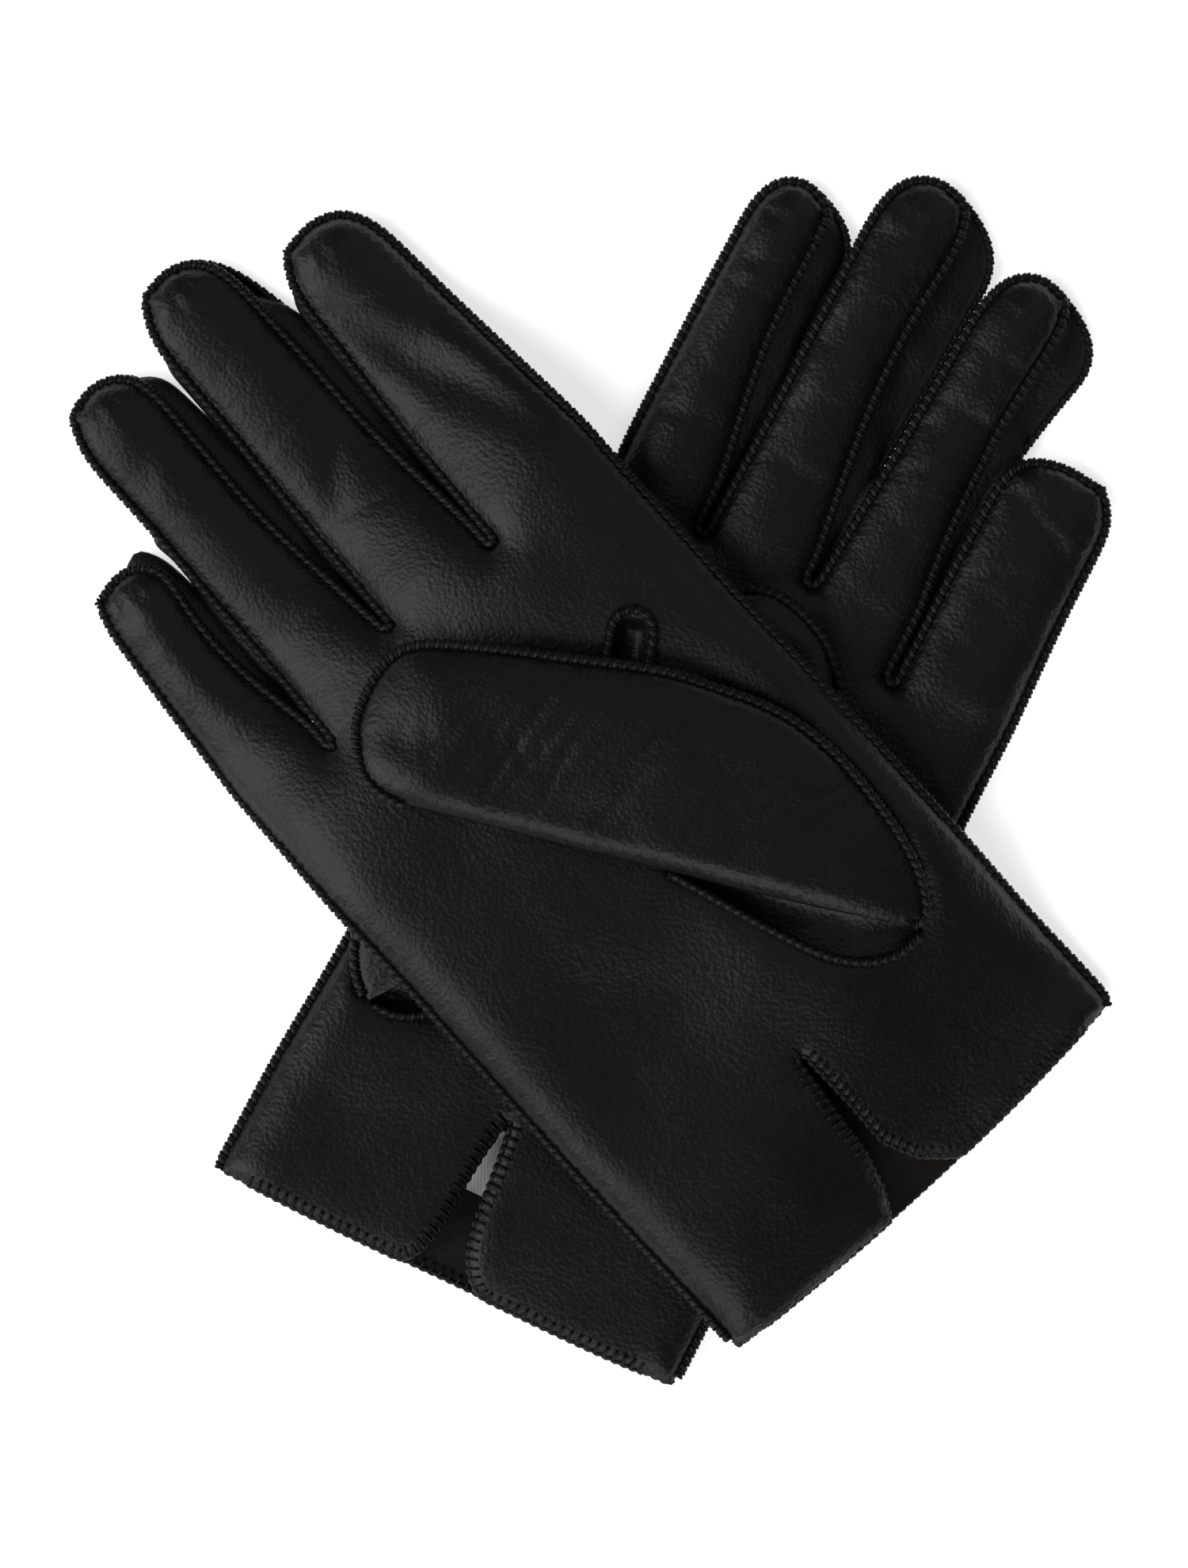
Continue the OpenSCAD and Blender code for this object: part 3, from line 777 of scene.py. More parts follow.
# Heights of the leather's edge above the drape, by the kind of seam
SIDE_EDGE = 3.5
STRIP_EDGE = 5.4
HEM_EDGE = 7.3
HOLE_EDGE = 7.5
# How far in from a seam or a hem the leather is still rising
SEAM_ROLL = 10.0
HEM_ROLL = 3.6
# A border point this near to the hem's thread is on the hem
HEM_NEAR = 1.6
LEVEL_BLUR = 9


def drape_of(glove):
    return Height(*borders_of[glove, "back"].nodes)


def hem_distance(glove, points):
    hem = Height(f"{glove}_hem_thread")
    return np.array([hem.tree.find_nearest((p[0], p[1], 0))[3] for p in points])


def share_out(border, flat):
    """For each vertex: its nearest border point, how far that is, and its finger or -1."""
    index, gap = nearest(border.outer)(flat)
    finger = border.finger[index].copy()
    for k, plane in enumerate(border.planes):
        finger[(finger == k) & (plane.local(flat)[1] < CUT)] = -1
    return index, gap, finger


def edge_levels(glove, border, drape):
    """Height above the drape, and width of the roll, at each point of the border and the hole."""
    top = Height(*border.nodes)
    loops = [border.outer] + border.holes
    levels, rolls = [], []
    for k, loop in enumerate(loops):
        level = np.clip(top(loop) - drape(loop) + LEATHER, SIDE_EDGE, STRIP_EDGE)
        roll = np.full(len(loop), SEAM_ROLL)
        if k == 0:
            hem = hem_distance(glove, loop) < HEM_NEAR
            level[hem] = HEM_EDGE
            roll[hem] = HEM_ROLL
        else:
            level[:] = HOLE_EDGE
            roll[:] = HEM_ROLL
        levels.append(averaged(level, LEVEL_BLUR))
        rolls.append(averaged(roll, LEVEL_BLUR))
    return np.concatenate(levels), np.concatenate(rolls)


for glove in ("left", "right"):
    level, _ = edge_levels(glove, borders_of[glove, "front"], drape_of(glove))
    print(glove, "edge heights, mm:", round(level.min(), 1), "to", round(level.max(), 1))

# %% [markdown]
# ### Creases, folds and hollows
# A worn glove keeps the creases of the hand. Each finger has fine grooves where it bends, gathers
# that run out from its tip like the rays of a shell, and one groove below the tip. A few deeper
# folds and some wide soft hollows are placed one by one, because they give each glove its face.

# %% Creases and hollows
# Where a finger bends, as shares of its length
BENDS = (0.18, 0.34, 0.55, 0.74, 0.88)
GATHERS = 9


def finger_creases(k, x, y, half, length, rng):
    """Grooves across a finger where it bends, and gathers that run out from its tip."""
    rise = np.zeros_like(x)
    for share in BENDS:
        middle = (share + rng.uniform(-0.05, 0.05)) * length
        rise += crease(x, y, middle, half, rng.uniform(-0.5, 0.5), rng.uniform(-0.25, 0.25),
                       rng.uniform(0.9, 2.6), rng.uniform(0.10, 0.34))
    for _ in range(4):
        middle = rng.uniform(0.1, 0.9) * length
        rise += crease(x, y, middle, half * rng.uniform(0.4, 0.8), rng.uniform(-1.4, 1.4), 0,
                       rng.uniform(0.5, 1.1), rng.uniform(0.05, 0.16))
    out = np.hypot(x, (length - y))
    turn = np.arctan2(x, length - y)
    rise += 0.22 * np.sin(GATHERS * turn + k) * np.exp(-((out - 5) / 3.5) ** 2)
    below_tip = np.exp(-((y - length + 9 + 0.15 * x) / 1.6) ** 2)
    return rise - 0.35 * below_tip * smooth(1.1 - np.abs(x) / half)


# Deeper folds across a finger: finger, distance from its tip, lean, width and depth
FOLDS = {"right": [(0, 39, -2.3, 13, 1.5), (1, 52, 1.2, 5, 0.6), (2, 16, 0.8, 4, 0.5)],
         "left": [(1, 30, 0.9, 5, 0.8), (2, 34, 0.5, 4, 0.6), (3, 14, -0.6, 3, 0.6)]}
# Soft hollows in the palm: where, how far they reach and how deep they are
HOLLOWS = {"right": [((10, -50), 20, 1.7), ((-34, 2), 13, 0.9), ((36, -30), 12, -0.7),
                     ((-2, 20), 12, 0.8)],
           "left": [((-50, -70), 14, 1.0), ((50, 30), 12, 0.8), ((78, 18), 9, -0.5)]}
print("folds and hollows:", sum(map(len, FOLDS.values())), sum(map(len, HOLLOWS.values())))

# %% [markdown]
# ### Heights of the whole palm side
# Everything is added up on one fine mesh: the drape, the rise from the nearest seam, slow waves,
# the creases, and last the small dips where each stitch pulls the leather down.

# %% The palm side as one sheet
CROWN = 0.9
# The hole for the thumb is cut a little larger than its seam, which covers the edge
HOLE_TUCK = 1.8
# Finger creases fade out over this stretch of the palm, measured from the hinge
CREASE_START = -14
CREASE_FADE = 10


def palm_side(glove, seed):
    border = borders_of[glove, "front"]
    drape = drape_of(glove)
    holes = [h - HOLE_TUCK * turns_left(h) * leftward(h) for h in (h[:, :2] for h in border.holes)]
    flat, faces = cut_panel([border.outer[:, :2]] + holes,
                            [(0.5, 0.55), (1.1, 0.75), (1.9, 1.0)], 1.2)
    edges = edges_of(faces)
    lie = relaxed(drape(flat) - LEATHER, edges, 60)
    level, roll = edge_levels(glove, border, drape)
    every = np.vstack([border.outer[:, :2]] + holes)
    place, gap = nearest(every)(flat)
    index, _, finger = share_out(border, flat)
    level, roll = level[place], roll[place]
    height = level + (PANEL_DEPTH - level) * pillow(gap / roll)
    on_finger = finger >= 0
    height += CROWN * (1 - np.exp(-gap / 6)) * np.where(on_finger, 1, 0.6)
    height = relaxed(height, edges, 6)
    quiet = pillow(gap / 6)
    height += quiet * (0.85 * waves(flat, 32, seed) + 0.32 * waves(flat, 12, seed + 5)
                       + 0.03 * waves(flat, 4, seed + 9))
    rng = random.Random(seed)
    for k, plane in enumerate(border.planes):
        x, y = plane.local(flat)
        mine = (border.finger[index] == k) & (y > CREASE_START)
        length = along_at(plane, border.outer, border.tips[k])
        half = np.abs(x[mine & (y > 0) & (y < 0.5 * length)]).max()
        rise = finger_creases(k, x, y, half, length, rng)
        begun = smooth((y - CREASE_START) / CREASE_FADE)
        height += np.where(mine, rise * begun * pillow(gap / 5), 0)
    for k, middle, lean, width, depth in FOLDS[glove]:
        x, y = border.planes[k].local(flat)
        length = along_at(border.planes[k], border.outer, border.tips[k])
        fold = crease(x, y, length - middle, 13, lean, 0, width, depth)
        height += np.where(border.finger[index] == k, fold, 0) * pillow(gap / 4)
    for at, reach, depth in HOLLOWS[glove]:
        away = np.linalg.norm(flat - at, axis=1)
        height -= depth * np.exp(-(away / reach) ** 2) * pillow(gap / 8)
    along_seam = place * BORDER_STEP
    pull = 0.5 + 0.5 * np.cos(2 * math.pi * along_seam / STITCH)
    height -= 0.26 * pull * np.exp(-(gap / 1.5) ** 2) + 0.5 * np.exp(-(gap / 1.0) ** 2)
    return flat, faces, lie, height, finger


fronts = {}
for glove, seed in (("left", 3), ("right", 8)):
    fronts[glove] = palm_side(glove, seed)
    print(glove, "palm side vertices:", len(fronts[glove][0]))

# %% [markdown]
# ### Cutting the sheet into moving pieces
# The finished sheet is cut where the fingers begin. A triangle that crosses a cut stays with the
# hand, and every piece takes its normals from the whole sheet.

# %% Cutting a sheet at the finger roots
def of_owner(owners, k):
    """Faces whose corners all belong to finger k; for -1, the faces left over by the fingers."""
    alike = (owners == owners[:, :1]).all(1)
    return alike & (owners[:, 0] == k) if k >= 0 else ~(alike & (owners[:, 0] >= 0))


def cut_into_pieces(glove, points, every, side, finger, materials, names):
    """Cuts the finished panel at the finger roots and attaches each piece."""
    normals = vertex_normals(points, every)
    owners = np.concatenate([finger, finger])[every]
    made = []
    for k, name in names.items():
        mine = of_owner(owners, k)
        piece = make_object(f"{name}_leather", points, every[mine], materials, side[mine], normals)
        attach(piece, glove, FINGERS[k] if k >= 0 else None, name)
        made.append(len(piece.data.polygons))
    return made


def part_names(glove, part, panel):
    """The design's name for the hand's share of a sheet, -1, and for each finger's."""
    return {-1: f"{glove}_{panel}",
            **{k: f"{glove}_{finger}_{part}" for k, finger in enumerate(FINGERS)}}


print("pieces of a palm side:", list(part_names("left", "front", "palm_panel").values()))

# %% [markdown]
# ## The thumb
# The thumb is a tube of leather sewn into a hole in the palm, and here it is folded flat across
# the hand. What shows is one long leaf: a sewn edge on the index side and round the tip, and a
# soft rolled fold on the other side. Below the fold a crescent of the tube shows, where it comes
# up out of the hole.

# %% Outline of the folded thumb
# Extra fullness of the leaf on its sewn side
THUMB_FULLNESS = 2.6


def hull(points):
    loop = [points[i] for i in geometry.convex_hull_2d([Vector(p) for p in points])]
    loop = np.array(loop)
    return loop if turns_left(loop) > 0 else loop[::-1]


class Thumb:
    """Plan outlines of a folded thumb, in the thumb's own directions, index side positive."""

    def __init__(self, glove):
        self.plane = hinge_plane(f"{glove}_thumb_lift", mirrored=glove == "left")
        sleeve, _ = cad_mesh(f"{glove}_thumb")
        base, _ = cad_mesh(f"{glove}_thumb_base")
        sleeve = hull(np.column_stack(self.plane.local(sleeve)))
        base = hull(np.column_stack(self.plane.local(base)))
        root = sleeve[sleeve[:, 1] < AT_HINGE]
        self.corner = root[np.argmin(root[:, 0])]
        low = base[base[:, 1] < base[:, 1].min() + 1]
        self.end = low[np.argmin(low[:, 0])]
        chord = self.end - self.corner
        side = (base - self.corner) @ np.array([-chord[1], chord[0]])
        outer = base[(side > 0.5 * np.linalg.norm(chord)) & (base[:, 1] < -1)]
        outer = outer[np.argsort(outer[:, 1])]
        beyond = sleeve[sleeve[:, 1] > AT_HINGE]
        turn = np.arctan2(beyond[:, 1] - 20, beyond[:, 0])
        beyond = beyond[np.argsort(turn)]
        beyond = beyond + np.column_stack([
            THUMB_FULLNESS * (beyond[:, 0] > 0) * smooth(beyond[:, 1] / 14)
            * smooth((beyond[:, 1].max() - beyond[:, 1]) / 6), np.zeros(len(beyond))])
        right = root[np.argmax(root[:, 0])]
        self.leaf = resampled(rounded(np.vstack([self.end, outer, right, beyond, self.corner]),
                                      sharp=200), BORDER_STEP)
        little = base[(side < -0.05 * np.linalg.norm(chord)) & (base[:, 1] < 0)]
        self.mouth = np.vstack([self.corner, little[np.argsort(-little[:, 1])], self.end])
        self.tip = float(beyond[:, 1].max())
        print(glove, "thumb leaf", round(np.ptp(self.leaf[:, 1]), 1), "mm long")


thumb_plans = {glove: Thumb(glove) for glove in ("left", "right")}

# %% [markdown]
# ### Heights of the thumb
# The leaf rises from its sewn edge as the palm does, but along the fold it turns over in a tight
# roll. It is fullest towards the tip and thins out at its low end. Fine creases lean across it
# where the thumb bends, and one dent near the tip shows that it is empty.

# %% Heights of the folded thumb
# Creases across the thumb: distance from its tip, lean, width and depth
THUMB_CREASES = [(31.5, -0.45, 1.1, 0.42), (36.5, -0.6, 1.0, 0.28), (26, -0.55, 0.9, 0.26),
                 (42, -0.4, 1.3, 0.22), (18, -0.8, 0.9, 0.2), (58, -0.7, 2.4, 0.5)]
# Heights above the drape of the seam, the fold and the crown, at the low end and then higher up
THUMB_SEAM_BASE, THUMB_SEAM_SLEEVE = 9.6, 11.8
THUMB_FOLD_BASE, THUMB_FOLD = 9.6, 11.4
THUMB_CROWN_BASE, THUMB_CROWN = 10.6, 15.0
THUMB_FOLD_ROLL, THUMB_SEAM_ROLL = 3.8, 11.0
# The fold begins this far below the tip
FOLD_BELOW_TIP = 13
FINE_CREASES = 9
BASE_CREASES = 5


def thumb_leaf(glove, seed):
    thumb = thumb_plans[glove]
    drape = drape_of(glove)
    flat, faces = cut_panel([thumb.leaf], [(0.3, 0.5), (0.8, 0.6), (1.5, 0.75)], 0.8)
    edges = edges_of(faces)
    x, y = flat.T
    room = thumb.plane.room(x, y)
    lie = relaxed(drape(room) - LEATHER, edges, 60)
    place, gap = nearest(thumb.leaf)(flat)
    border = thumb.leaf
    chord = (thumb.end - thumb.corner) / np.linalg.norm(thumb.end - thumb.corner)
    off = (border - thumb.corner) @ np.array([-chord[1], chord[0]])
    below = border[:, 1] < AT_HINGE
    on_fold = (below & (off < 1.2)) | (~below & (border[:, 0] < 0)
                                       & (border[:, 1] < thumb.tip - FOLD_BELOW_TIP))
    sleeve = smooth((border[:, 1] + 12) / 24)
    seam = THUMB_SEAM_BASE + (THUMB_SEAM_SLEEVE - THUMB_SEAM_BASE) * sleeve
    low_end = smooth((border[:, 1] - border[:, 1].min()) / 24)
    fold = THUMB_FOLD_BASE + (THUMB_FOLD - THUMB_FOLD_BASE) * low_end
    level = averaged(np.where(on_fold, fold, seam), 10)
    roll = averaged(np.where(on_fold, THUMB_FOLD_ROLL, THUMB_SEAM_ROLL), 10)
    level, roll = level[place], roll[place]
    crown = THUMB_CROWN_BASE + (THUMB_CROWN - THUMB_CROWN_BASE) * smooth((y - y.min()) / 34)
    top = level + (crown - level) * pillow(gap / roll)
    top = relaxed(top, edges, 5)
    quiet = pillow(gap / 5)
    top += quiet * (0.9 * waves(room, 24, seed) + 0.3 * waves(room, 9, seed + 2)
                    + 0.04 * waves(room, 3.5, seed + 4))
    rng = random.Random(seed)
    for from_tip, lean, width, depth in THUMB_CREASES:
        top += quiet * crease(x, y, thumb.tip - from_tip, 19, lean, rng.uniform(-0.15, 0.15),
                              width, depth)
    for k in range(FINE_CREASES):
        middle = thumb.tip * (0.3 + 0.07 * k)
        top += quiet * crease(x, y, middle, rng.uniform(6, 14), rng.uniform(-0.8, 0.5),
                              rng.uniform(-0.3, 0.3), rng.uniform(0.8, 1.4),
                              rng.uniform(0.06, 0.2))
    dent = np.hypot(x + 2, y - thumb.tip + 9)
    top -= 0.9 * np.exp(-(dent / 5) ** 2)
    for _ in range(BASE_CREASES):
        middle = rng.uniform(-40, 20)
        top += quiet * crease(x, y, middle, 18, rng.uniform(-1.5, -0.4), 0,
                              rng.uniform(1.2, 2.6), rng.uniform(0.10, 0.3))
    sewn = 1 - np.isin(place, np.where(on_fold)[0])
    pull = 0.5 + 0.5 * np.cos(2 * math.pi * place * BORDER_STEP / STITCH)
    top -= sewn * (0.25 * pull * np.exp(-(gap / 1.5) ** 2) + 0.4 * np.exp(-(gap / 1.0) ** 2))
    under = level - np.maximum(0.1, level - 9.0) * pillow(gap / 3.0)
    under = np.minimum(under, top - 0.02)
    return flat, faces, room, lie, top, under, on_fold


# %% [markdown]
# ### Closing the thumb
# The top and the underside are one closed skin with a shared border. It is cut once, at the
# thumb's hinge: the rest stays with the hand, and the free part is kept as a piece of its own.

# %% The thumb as a closed skin
def closed_leaf(glove, seed):
    """The top of the leaf and its underside share the border, so the fold is one smooth roll."""
    thumb = thumb_plans[glove]
    flat, faces, room, lie, top, under, on_fold = thumb_leaf(glove, seed)
    n, rim = len(flat), len(thumb.leaf)
    lower = np.arange(n) + n
    lower[:rim] = np.arange(rim)
    upper_points = np.column_stack([drifted(room), top + lie])
    under_points = np.column_stack([drifted(room), under + lie])
    points = np.vstack([upper_points, under_points])
    faces = faces if thumb.plane.across @ [thumb.plane.along[1], -thumb.plane.along[0]] > 0 \
        else faces[:, ::-1]
    every = np.vstack([faces, lower[faces[:, ::-1]]])
    normals = vertex_normals(points, every)
    free = np.concatenate([flat[:, 1], flat[:, 1]])[every] > CUT
    for free_part, node in ((True, "thumb"), (False, "thumb_base")):
        mine = free.all(1) == free_part
        piece = make_object(f"{glove}_{node}_leather", points, every[mine], [black_nappa],
                            normals=normals)
        attach(piece, glove, "thumb" if free_part else None, f"{glove}_{node}")
        print(piece.name, "faces:", len(piece.data.polygons))
    return thumb, on_fold, points[:rim]


thumbs = {glove: closed_leaf(glove, seed) for glove, seed in (("left", 31), ("right", 44))}

# %% [markdown]
# ### Where the thumb comes out of its hole
# Under the rolled fold the tube goes down to the seam round the hole. It is a narrow curved band,
# lowest in its middle, and it slips under the fold so that no gap shows from any side.

# %% Crescent below the fold
# How far the band slips under the fold, and the heights of its seam edge and its sag
UNDER_FOLD = 5.5
BAND_EDGE = 8.3
BAND_SAG = 2.6


def crescent(glove):
    thumb = thumb_plans[glove]
    drape = drape_of(glove)
    seam = resampled(rounded_line(thumb.mouth), 0.7, closed=False)
    share = np.linspace(0, 1, len(seam))
    fold = thumb.corner + np.outer(share, thumb.end - thumb.corner) + (UNDER_FOLD, 0)
    rows = []
    for u in np.linspace(0, 1, 15):
        line = seam * (1 - u) + fold * u
        room = thumb.plane.room(*line.T)
        lie = drape(room) - LEATHER
        sink = BAND_EDGE - BAND_SAG * np.sin(math.pi * min(1, u * 1.1)) + 0.6 * u
        ripple = 0.35 * waves(room, 5, 61) * math.sin(math.pi * u)
        rows.append(np.column_stack([drifted(room), lie + sink + ripple]))
    points, faces = grid(rows)
    band = make_object(f"{glove}_thumb_crescent", points, faces, [black_nappa])
    attach(band, glove, None)
    return len(faces)


def rounded_line(line, rounds=2):
    """Cuts the corners off an open line."""
    for _ in range(rounds):
        low = line[:-1] * 0.75 + line[1:] * 0.25
        high = line[:-1] * 0.25 + line[1:] * 0.75
        line = np.vstack([line[:1], np.stack([low, high], 1).reshape(-1, line.shape[1]), line[-1:]])
    return line


def grid(rows, closed=False):
    """Points and four-sided faces of rows of equal length; closed joins each row's two ends."""
    rows = np.array(rows)
    count, width = rows.shape[:2]
    r = np.arange(count - 1)[:, None] * width
    c = np.arange(width if closed else width - 1)[None, :]
    d = (c + 1) % width
    faces = np.stack([r + c, r + d, r + width + d, r + width + c], -1).reshape(-1, 4)
    return rows.reshape(-1, 3), faces


for glove in ("left", "right"):
    print(glove, "crescent faces:", crescent(glove))

# %% [markdown]
# ### The palm side round the thumb
# Beside the thumb's crotch a small loop is stitched into the palm, the quirk, and the leather
# sinks inside it. The palm also dips a little along the thumb's sewn edge, where the weight of
# the thumb presses it down. Then the sheet gets its thickness and is cut into pieces.

# %% Finish and cut up the palm sides
# The quirk's reach from the thumb's edge, half its width, and its place along the thumb
QUIRK_REACH = 11.5
QUIRK_HALF = 4.3
QUIRK_ALONG = 15
QUIRK_SINK = 3.0
THUMB_DIP = 0.9


def quirk_root(thumb):
    """How far across the thumb its sewn edge is, beside the quirk."""
    beside = thumb.leaf[np.abs(thumb.leaf[:, 1] - QUIRK_ALONG) < QUIRK_HALF]
    return float(beside[beside[:, 0] > 0][:, 0].max())


for glove in ("left", "right"):
    flat, faces, lie, height, finger = fronts[glove]
    thumb = thumb_plans[glove]
    x, y = thumb.plane.local(flat)
    root = quirk_root(thumb)
    inside_loop = (np.exp(-((y - QUIRK_ALONG) / (QUIRK_HALF * 0.75)) ** 4)
                   * smooth((x - root + 5) / 3) * smooth((root + QUIRK_REACH - 1 - x) / 3))
    height = height - QUIRK_SINK * inside_loop
    ahead = np.exp(-((x - root + 1) / 7) ** 2) * smooth((y + 45) / 20) * smooth((62 - y) / 12)
    height = height - THUMB_DIP * ahead * (height > 5)
    solid = leather_solid(drifted(flat), faces, height + lie, LEATHER)
    counts = cut_into_pieces(glove, *solid, finger, [black_nappa, flesh_side],
                             part_names(glove, "front", "palm_panel"))
    print(glove, "palm side faces by piece:", counts)

# %% [markdown]
# ## The back of the hand
# The back of each glove is one plain panel that rests on what is under it. Three raised lines of
# stitching, called points, run down the back of a dress glove towards the fingers. Only their
# usual places are known here, so they are kept faint.

# %% Back panels
POINT_RISE = 0.45
BACK_LEATHER = 0.9


def back_side(glove, seed):
    border = borders_of[glove, "back"]
    drape = drape_of(glove)
    flat, faces = cut_panel([border.outer[:, :2]], [(0.7, 0.9), (1.7, 1.3)], 2.2)
    edges = edges_of(faces)
    lie = relaxed(drape(flat) - LEATHER, edges, 40)
    _, gap, finger = share_out(border, flat)
    across, along = border.plane.local(flat)
    height = 0.55 + 0.35 * (1 - pillow(gap / 5)) + 0.12 * waves(flat, 20, seed)
    length = along_at(border.plane, border.outer, border.crotches[1])
    for k in range(3):
        crotch = border.plane.local(border.outer[border.crotches[k]][None])[0][0]
        line = crotch * (0.55 + 0.45 * along / length)
        reach = smooth((along - 0.35 * length) / 6) * smooth((0.92 * length - along) / 6)
        height -= POINT_RISE * np.exp(-((across - line) / 1.1) ** 2) * reach
    height = np.maximum(height, 0.05)
    solid = leather_solid(drifted(flat), faces, height + lie, BACK_LEATHER, face_down=True)
    return cut_into_pieces(glove, *solid, finger, [black_nappa, flesh_side],
                           part_names(glove, "back", "back_panel"))


for glove, seed in (("left", 71), ("right", 78)):
    print(glove, "back faces by piece:", back_side(glove, seed))

# %% [markdown]
# ## Side strips
# Between neighbouring fingers a narrow strip, the fourchette, joins the palm side to the back. It
# starts at one fingertip, goes down to the crotch and up to the next fingertip. Because the backs
# have slid sideways under the fingers, each strip leans and shows as a dark band beside its
# finger; its leather is also a little darker than the panels', as painted shade. Empty strips
# fold inwards a little.

# %% Runs and webs of the side strips
# Border points on each side of a crotch that its folded web covers
WEB_REACH = 16


def half_runs(border, k):
    """Border points from fingertip k to the crotch, and from the crotch to the next fingertip."""
    tip, crotch, following = border.tips[k], border.crotches[k], border.tips[k + 1]
    return np.arange(tip, crotch + 1), np.arange(crotch, following + 1)


def even(points, count):
    at = np.linspace(0, 1, count)
    run = np.concatenate([[0], np.cumsum(np.linalg.norm(np.diff(points, axis=0), axis=1))])
    return np.column_stack([np.interp(at, run / run[-1], points[:, c]) for c in range(2)])


def facing_distance(line, middle):
    """How far each point is from the other finger's half of the line."""
    halves = line[:middle], line[middle:]
    return np.concatenate([nearest(halves[1])(halves[0])[1], nearest(halves[0])(halves[1])[1]])


def crotch_web(front, k, drape, level):
    """The folded bottom of a strip, which closes the end of the slot between two fingers."""
    def width(c):
        j = np.arange(3, 12)
        return np.linalg.norm(front.outer[c - j, :2] - front.outer[c + j, :2], axis=1).sum()
    deepest = min(range(front.crotches[k] - 16, front.crotches[k] + 17), key=width)
    rows = []
    for j in range(WEB_REACH):
        ends = front.outer[[deepest - j, deepest + j], :2]
        flat = ends[0] + np.linspace(0, 1, 5)[:, None] * (ends[1] - ends[0])
        sink = 0.6 + 0.28 * j + 0.5 * np.sin(np.linspace(0, math.pi, 5))
        height = np.maximum(level[deepest] - sink, 0.6)
        rows.append(np.column_stack([drifted(flat), height + drape(flat) - LEATHER]))
    points, faces = grid(rows)
    return points, faces[:, ::-1] if front.flipped else faces


for glove in ("left", "right"):
    print(glove, "border points along each strip:",
          [sum(map(len, half_runs(borders_of[glove, "front"], k))) for k in range(3)])

# %% [markdown]
# ### Making the strips
# Each strip is a grid between the palm side's edge and the back's edge. Where two fingers lie
# close, the strips bulge towards each other until they meet, so that no table shows between them;
# where they lie apart, the strips sag inwards.

# %% Fourchettes
STRIP_ROWS = 9
# Fingers closer than CLOSED, in mm, have strips that meet; from APART on, the strips sag
CLOSED, APART = 7.0, 10.5
CLOSING_LIMIT = 4.2


def side_strips(glove):
    front, back = borders_of[glove, "front"], borders_of[glove, "back"]
    drape = drape_of(glove)
    level, _ = edge_levels(glove, front, drape)
    pieces = {k: [] for k in (-1, 0, 1, 2, 3)}
    for k in range(3):
        upper, lower, owner, edge = [], [], [], []
        for run, back_run in zip(half_runs(front, k), half_runs(back, k)):
            count = len(run) // 2
            upper.append(even(front.outer[run, :2], count))
            lower.append(even(back.outer[back_run, :2], count))
            at = np.linspace(0, 1, count)
            edge.append(np.interp(at, np.linspace(0, 1, len(run)), level[run]))
            owner += [int(front.finger[run[len(run) // 2]])] * count
        upper, lower, edge = np.vstack(upper), np.vstack(lower), np.concatenate(edge)
        owner = np.array(owner)
        for f in range(4):
            owner[(owner == f) & (front.planes[f].local(upper)[1] < CUT)] = -1
        inward = leftward(upper, closed=False) * (-1 if front.flipped else 1)
        upper_lie, lower_lie = drape(upper) - LEATHER, drape(lower) - LEATHER
        depth = smooth(np.minimum(np.arange(len(upper)), np.arange(len(upper))[::-1]) / 12)
        middle = len(upper) // 2
        facing = facing_distance(upper, middle)
        from_crotch = np.abs(np.arange(len(upper)) - middle) * 2 * BORDER_STEP
        facing = np.where(from_crotch < 4, np.maximum(facing, 3.4), facing)
        closing = np.clip(facing / 2 + 0.3, 0, CLOSING_LIMIT)
        closing *= smooth((APART - facing) / (APART - CLOSED))
        rows = []
        for u in np.linspace(0, 1, STRIP_ROWS):
            fold = math.sin(math.pi * u)
            flat = upper * (1 - u) + lower * u
            sag = depth * (1 - smooth((9 - facing) / 3)) * (0.9 + 0.9 * waves(flat, 9, 40 + k))
            flat = flat + inward * (fold * (sag - closing))[:, None]
            top, bottom = edge - 0.35 + upper_lie, 1.35 + lower_lie
            height = top * (1 - u) + bottom * u - 0.5 * fold * depth
            height += 0.3 * fold * waves(flat, 5, 50 + k)
            rows.append(np.column_stack([drifted(flat), height]))
        rows = np.array(rows).transpose(1, 0, 2)
        points, faces = grid(rows)
        if front.flipped:
            faces = faces[:, ::-1]
        owners = owner[faces // STRIP_ROWS]
        for f in pieces:
            mine = of_owner(owners, f)
            if mine.any():
                pieces[f].append((points, faces[mine]))
        pieces[-1].append(crotch_web(front, k, drape, level))
    for f, parts in pieces.items():
        points = np.vstack([p for p, _ in parts])
        first = np.cumsum([0] + [len(p) for p, _ in parts])
        faces = np.vstack([q + s for (_, q), s in zip(parts, first)])
        node = next((n for n in frame["nodes"] if f >= 0
                     and n.startswith(f"{glove}_{FINGERS[f]}_fourchette")), None)
        name = node or f"{glove}_crotch_fourchettes"
        # The strips take the darker copy of the nappa, which is painted shade between the fingers.
        strip = make_object(f"{name}_leather", points, faces, [strip_nappa_painted_shade])
        attach(strip, glove, FINGERS[f] if f >= 0 else None, node)
    return {f: sum(len(q) for _, q in parts) for f, parts in pieces.items()}


for glove in ("left", "right"):
    print(glove, "strip faces:", side_strips(glove))

# %% [markdown]
# ## Outseams
# The gloves are sewn with the raw edges outside, and the thread goes over and over both edges. It
# makes a ridge like a thin rope, with a slanted stitch every two millimetres. The ridge is swept
# along the border with a swelling between stitches, and each stitch is a short thread laid over
# it.

# %% Ropes and stitches
ROPE_STEP = 0.4
ROPE_SIDES = 8
ROPE_HALF = 0.86
ROPE_RISE = 0.80
THREAD_RADIUS = 0.27


